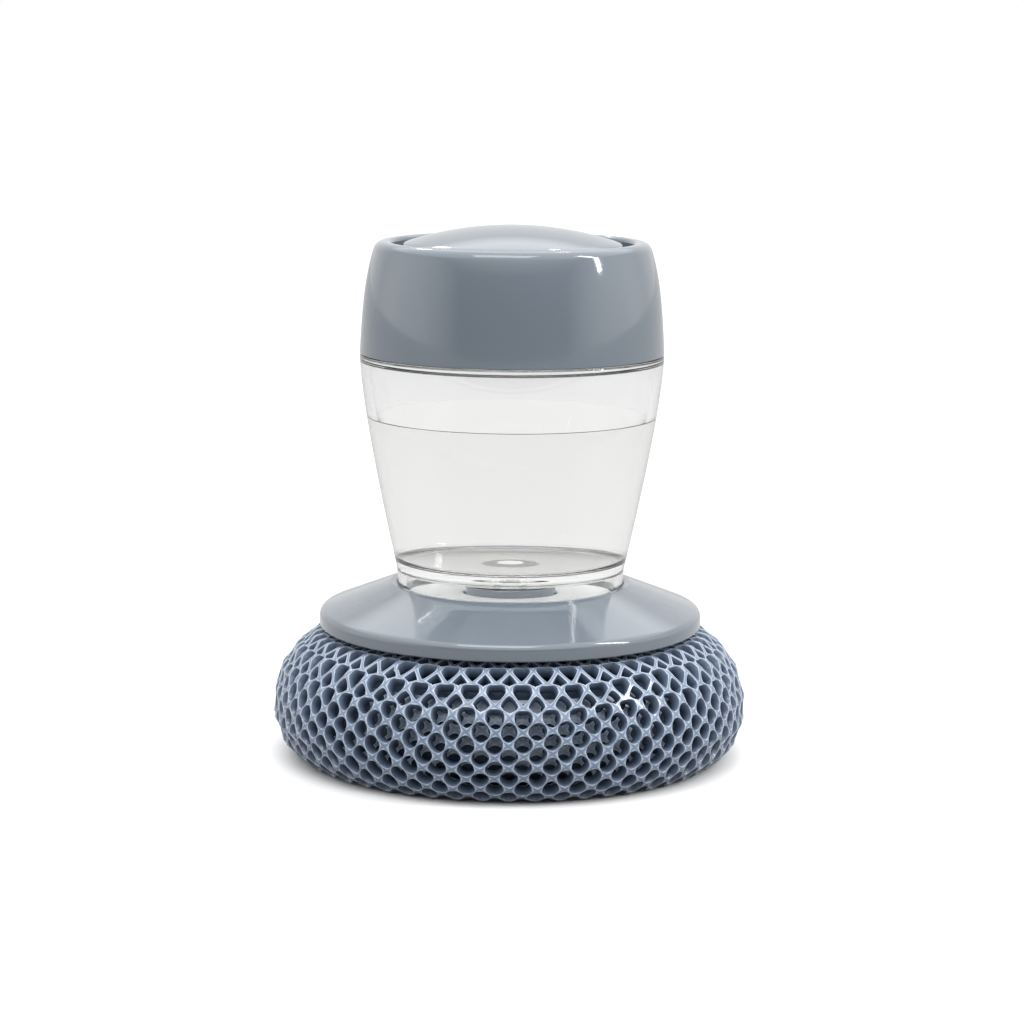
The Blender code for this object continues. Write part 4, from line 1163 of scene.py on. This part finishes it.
def yarn_finish(name, face_tint, painted_highlight_tint, painted_shade_tint, gloss):
    """Glossy yarn: a painted highlight pales its thin rims, its faces keep their own colour, and painted
    shade darkens it where it is deep.
    """
    finish, shader = start_finish(name, coat_weight=0.3, coat_roughness=0.09)
    tree = finish.node_tree
    depth = add_node(tree, "ShaderNodeAttribute", attribute_name="depth")
    rim = add_node(tree, "ShaderNodeAttribute", attribute_name="rim")
    # Painted shade: this ramp goes from the face tint to a dark tint as the depth grows.
    painted_shade_ramp = add_node(tree, "ShaderNodeValToRGB")
    painted_shade_ramp.color_ramp.elements[0].color = (*face_tint, 1)
    painted_shade_ramp.color_ramp.elements[1].color = (*painted_shade_tint, 1)
    # Painted highlight: the rim value mixes a pale tint in at the openings.
    sharpen = add_node(tree, "ShaderNodeMath", {1: 2.0}, operation="POWER")
    painted_highlight_mix = add_node(tree, "ShaderNodeMix", {"B": (*painted_highlight_tint, 1)}, data_type="RGBA")
    where = add_node(tree, "ShaderNodeTexCoord")
    fibres = add_node(tree, "ShaderNodeTexNoise", {"Scale": 900.0, "Detail": 3.0})
    gloss_by = add_node(tree, "ShaderNodeMath", {1: 0.15, 2: gloss}, operation="MULTIPLY_ADD")
    relief = add_node(tree, "ShaderNodeBump", {"Strength": 0.4, "Distance": 0.00004})
    wire(
        (depth, "Fac", painted_shade_ramp, "Fac"),
        (rim, "Fac", sharpen, 0),
        (sharpen, "Value", painted_highlight_mix, "Factor"),
        (painted_shade_ramp, "Color", painted_highlight_mix, "A"),
        (painted_highlight_mix, "Result", shader, "Base Color"),
        (where, "Object", fibres, "Vector"),
        (fibres, "Fac", gloss_by, 0),
        (gloss_by, "Value", shader, "Roughness"),
        (fibres, "Fac", relief, "Height"),
        (relief, "Normal", shader, "Normal"),
    )
    return finish


# Each yarn: face tint, painted highlight tint on the rims, painted shade tint deep down, and gloss.
net_yarn = yarn_finish("net_yarn", (0.148, 0.196, 0.28), (0.52, 0.60, 0.72), (0.016, 0.027, 0.05), 0.12)
inner_yarn = yarn_finish("inner_yarn", (0.25, 0.32, 0.43), (0.46, 0.54, 0.66), (0.15, 0.20, 0.29), 0.2)
print("yarn finishes:", net_yarn.name, inner_yarn.name)

# %% Separate the underside and finish the net
UNDERSIDE_RADIUS = 35.5 * MM
UNDERSIDE_TOP = 2.6 * MM
pick_pieces(net)
bpy.ops.object.mode_set(mode="EDIT")
bpy.ops.mesh.select_mode(type="VERT")
pick_vertices(lambda co: math.hypot(co.x, co.y) < UNDERSIDE_RADIUS and co.z < UNDERSIDE_TOP)
bpy.ops.mesh.separate(type="SELECTED")
bpy.ops.object.mode_set(mode="OBJECT")
underside = next(piece for piece in bpy.context.selected_objects if piece != net)
underside.name = underside.data.name = "net_underside"
for piece in (net, underside):
    finish_piece(piece, "head", net_yarn, 40)
    print(piece.name, "triangles:", sum(len(face.vertices) - 2 for face in piece.data.polygons))
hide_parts("scrub_net")

# %% [markdown]
# Under the outer net lies a second, plainer layer of the same net, and under that the foam. They are
# only glimpsed through the funnels, as threads that cross the openings. The second layer has the
# same rows with smaller openings. It starts lower down, so the top cells look into the dark foam.

# %% Lay the second net
INNER_DEPTH = 2.5
INNER_START = 4.5
INNER_CELL = np.array([0.56, 0.62, 0.62, 1.9, 1.9])


def sunk_points(indices, depth):
    """Fine points of the head's profile, moved to a depth under its surface."""
    return [tuple(fine[i] - outward[i] * depth) for i in indices]


side_start = profile_index(*HEM_EDGE)
flat_end = profile_index(*under_rows[2])
first_row = side_start + INNER_START / PROFILE_STEP
row_indices = [profile_index(*row) for row in net_rows]
row_indices = [i for i in row_indices if first_row <= i <= flat_end]
inner_net = spin_net("inner_net_cells", sunk_points(row_indices, INNER_DEPTH))[0]
open_cells(inner_net, INNER_CELL)
store_depth(inner_net, INNER_DEPTH - 0.5)
finish_piece(inner_net, "head", inner_yarn, 60)
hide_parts("inner_net")

# %% Fill in the foam
FOAM_DEPTH = 3.6
FOAM_STEP = 9
HUB_RADIUS = 13.75
POCKET_LEVEL = 13.4
TIE_ROOM = 3.0
core_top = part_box("scrub_core")[1].z / MM
foam_indices = range(side_start, flat_end, FOAM_STEP)
foam_side = [point for point in sunk_points(foam_indices, FOAM_DEPTH) if point[1] < core_top]
core_section = [
    (HUB_RADIUS, core_top, 0.3),
    (foam_side[0][0], core_top, 0.8),
    *[(*point, 0) for point in foam_side],
    (5.8, FOAM_DEPTH + 0.4, 0),
    (TIE_ROOM, FOAM_DEPTH + 0.4, 0.3),
    (TIE_ROOM, POCKET_LEVEL, 0),
    (HUB_RADIUS, POCKET_LEVEL, 0),
]
core = turn_piece("foam_core", core_section, "head", foam_dark, steps=72)
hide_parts("scrub_core")

# %% [markdown]
# The net's two ends are hidden ones. Its upper edge is a flat hem between the carrier and the clamp.
# Its lower end is drawn together in pleats, up into a dimple, where a plastic ring ties it off. The
# pleats are a turned skin whose corners move in and out by turns.

# %% Make the hem, the gather and its tie
PLEATS = CELLS_AROUND // 2
PLEAT_DEPTH = 0.32 * MM
PLEATS_START = 11 * MM
PLEATS_FADE = 3 * MM
DIMPLE_RADIUS = 4 * MM


def ring_section(inner, outer, bottom, top, *roundings):
    """The corners of a plain ring. Roundings run from the lower inner corner, outwards and up."""
    places = [(inner, bottom), (outer, bottom), (outer, top), (inner, top)]
    return [(*place, rounding) for place, rounding in zip(places, roundings)]


hem_section = ring_section(13.8, 26.9, 22.0, 23.6, 0.2, 0.2, 0.4, 0.4)
turn_piece("net_hem", hem_section, "head", net_yarn)

gather_side = even_points(
    [under_rows[-1], (6.6, 0.1), (5.6, 1.0), (4.6, 1.55), (2.35, 1.5), (2.2, 0.15)], 0.5
)
gather = trace_section("net_gather", [(*point, 0) for point in gather_side], closed=False)
spin_round(4 * PLEATS)
bm = bmesh.from_edit_mesh(gather.data)
for vert in bm.verts:
    radius, angle = math.hypot(vert.co.x, vert.co.y), math.atan2(vert.co.y, vert.co.x)
    depth = PLEAT_DEPTH * clamp((PLEATS_START - radius) / PLEATS_FADE) * clamp(radius / DIMPLE_RADIUS)
    vert.co.z += depth * (1 - math.cos(PLEATS * angle))
bmesh.update_edit_mesh(gather.data)
finish_piece(gather, "head", net_yarn, 50)
print("pleats:", PLEATS, "gather faces:", len(gather.data.polygons))

start_fresh()
bpy.ops.mesh.primitive_torus_add(
    location=(0, 0, 0.00085), major_radius=0.00315, minor_radius=0.00045, major_segments=48, minor_segments=12
)
tie = name_piece("gather_tie")
finish_piece(tie, "head", tie_nylon)
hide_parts("net_tie")

# %% [markdown]
# ## Small turned parts
# The seals, the valves and the rings are small turned pieces that only show when the brush is taken
# apart or is looked through. Each one is its own section with the roundings that such a moulding
# has, so a table is enough. A thin white lining on the base's seat is seen through the clear foot.

# %% Turn the small parts
ring_low, ring_high = (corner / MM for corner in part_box("bellows_ring"))
small_parts = [
    ("seal_ring", "reservoir_seal", "base", milky_rubber, "silicone",
        ring_section(4.85, 8.0, 31.5, 33.2, 0.2, 0.4, 0.4, 0.2)),
    ("neck_gasket", "cap_gasket", "cap_lift", milky_rubber, "silicone",
        ring_section(22.59, 24.39, 78.0, 79.3, 0.3, 0.3, 0.3, 0.3)),
    ("hub_gasket", "head_seal", "head_lift", milky_rubber, "silicone",
        ring_section(3.1, 6.15, 15.6, 16.7, 0.3, 0.3, 0.3, 0.3)),
    ("slit_valve", "outlet_valve", "base", milky_rubber, "silicone", [
        (0, 17.8, 0), (1.5, 17.96, 0), (1.7, 18.4, 0.3), (1.7, 19.7, 0.1), (4.2, 19.7, 0.3), (4.2, 18.4, 0.3),
        (2.5, 18.4, 0.2), (1.75, 17.27, 0.4), (0, 17.0, 0)]),
    ("umbrella_valve", "air_valve", "cap", milky_rubber, "silicone", [
        (0, 83.2, 0), (1.0, 82.86, 0.3), (1.7, 81.5, 0.2), (1.0, 81.5, 0.1), (1.0, 79.3, 0.1),
        (5.8, 79.3, 0.1), (5.8, 79.0, 0.1), (0, 78.1, 0)]),
    ("fold_ring", "bellows_ring", "cap", white_satin, "white_plastic",
        ring_section(FOLD_OUTER + 0.6, ring_high.x, ring_low.z, ring_high.z, 0.2, 0.2, 0.3, 0.3)),
    ("clamp_body", "clamp_ring", "head", white_satin, "white_plastic",
        ring_section(13.75, 24.6, 23.9, 25.2, 0.2, 0.2, 0.35, 0.25)),
    ("carrier_body", "head_carrier", "head", white_satin, "white_plastic", [
        (13.45, 25.2, 0.3), (13.45, 21.7, 0.2), (24.6, 21.7, 0.3), (24.6, 20.2, 0.3), (13.45, 20.2, 0.3),
        (13.45, 13.7, 0.9), (3.0, 13.7, 0.3), (3.0, 15.3, 0.3), (11.65, 15.3, 0.5), (11.65, 25.2, 0.3)]),
    ("retainer_body", "valve_retainer", "base", white_satin, "white_plastic", [
        (6.15, 24.2, 0.3), (6.15, 17.0, 0.5), (3.1, 17.0, 0.2), (3.1, 18.1, 0.2), (4.85, 18.1, 0.1),
        (4.85, 24.2, 0.2)]),
]
for name, node, body, finish, slot, corners in small_parts:
    piece = turn_piece(name, corners, body, finish, steps=72, closed=corners[0][0] > 0)
    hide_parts(node)
    low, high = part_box(node)
    print(f"  {piece.dimensions.z / MM:.2f} mm high, and packed {node} {(high.z - low.z) / MM:.2f} mm")
lining_section = ring_section(8.35, 18.1, 29.35, 29.8, 0.1, 0.1, 0.15, 0.15)
turn_piece("seat_lining", lining_section, "base", liner_white)

# %% [markdown]
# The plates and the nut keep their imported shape, with their holes and flats, and get the satin finish
# of moulded plastic.

# %% Give the plates and the nut their finish
for node in ("socket_plate", "pump_plate", "lock_nut"):
    packed = bpy.data.objects[node]
    for material_slot in packed.material_slots:
        material_slot.material = white_satin
    print(node, "has the finish", packed.active_material.name)
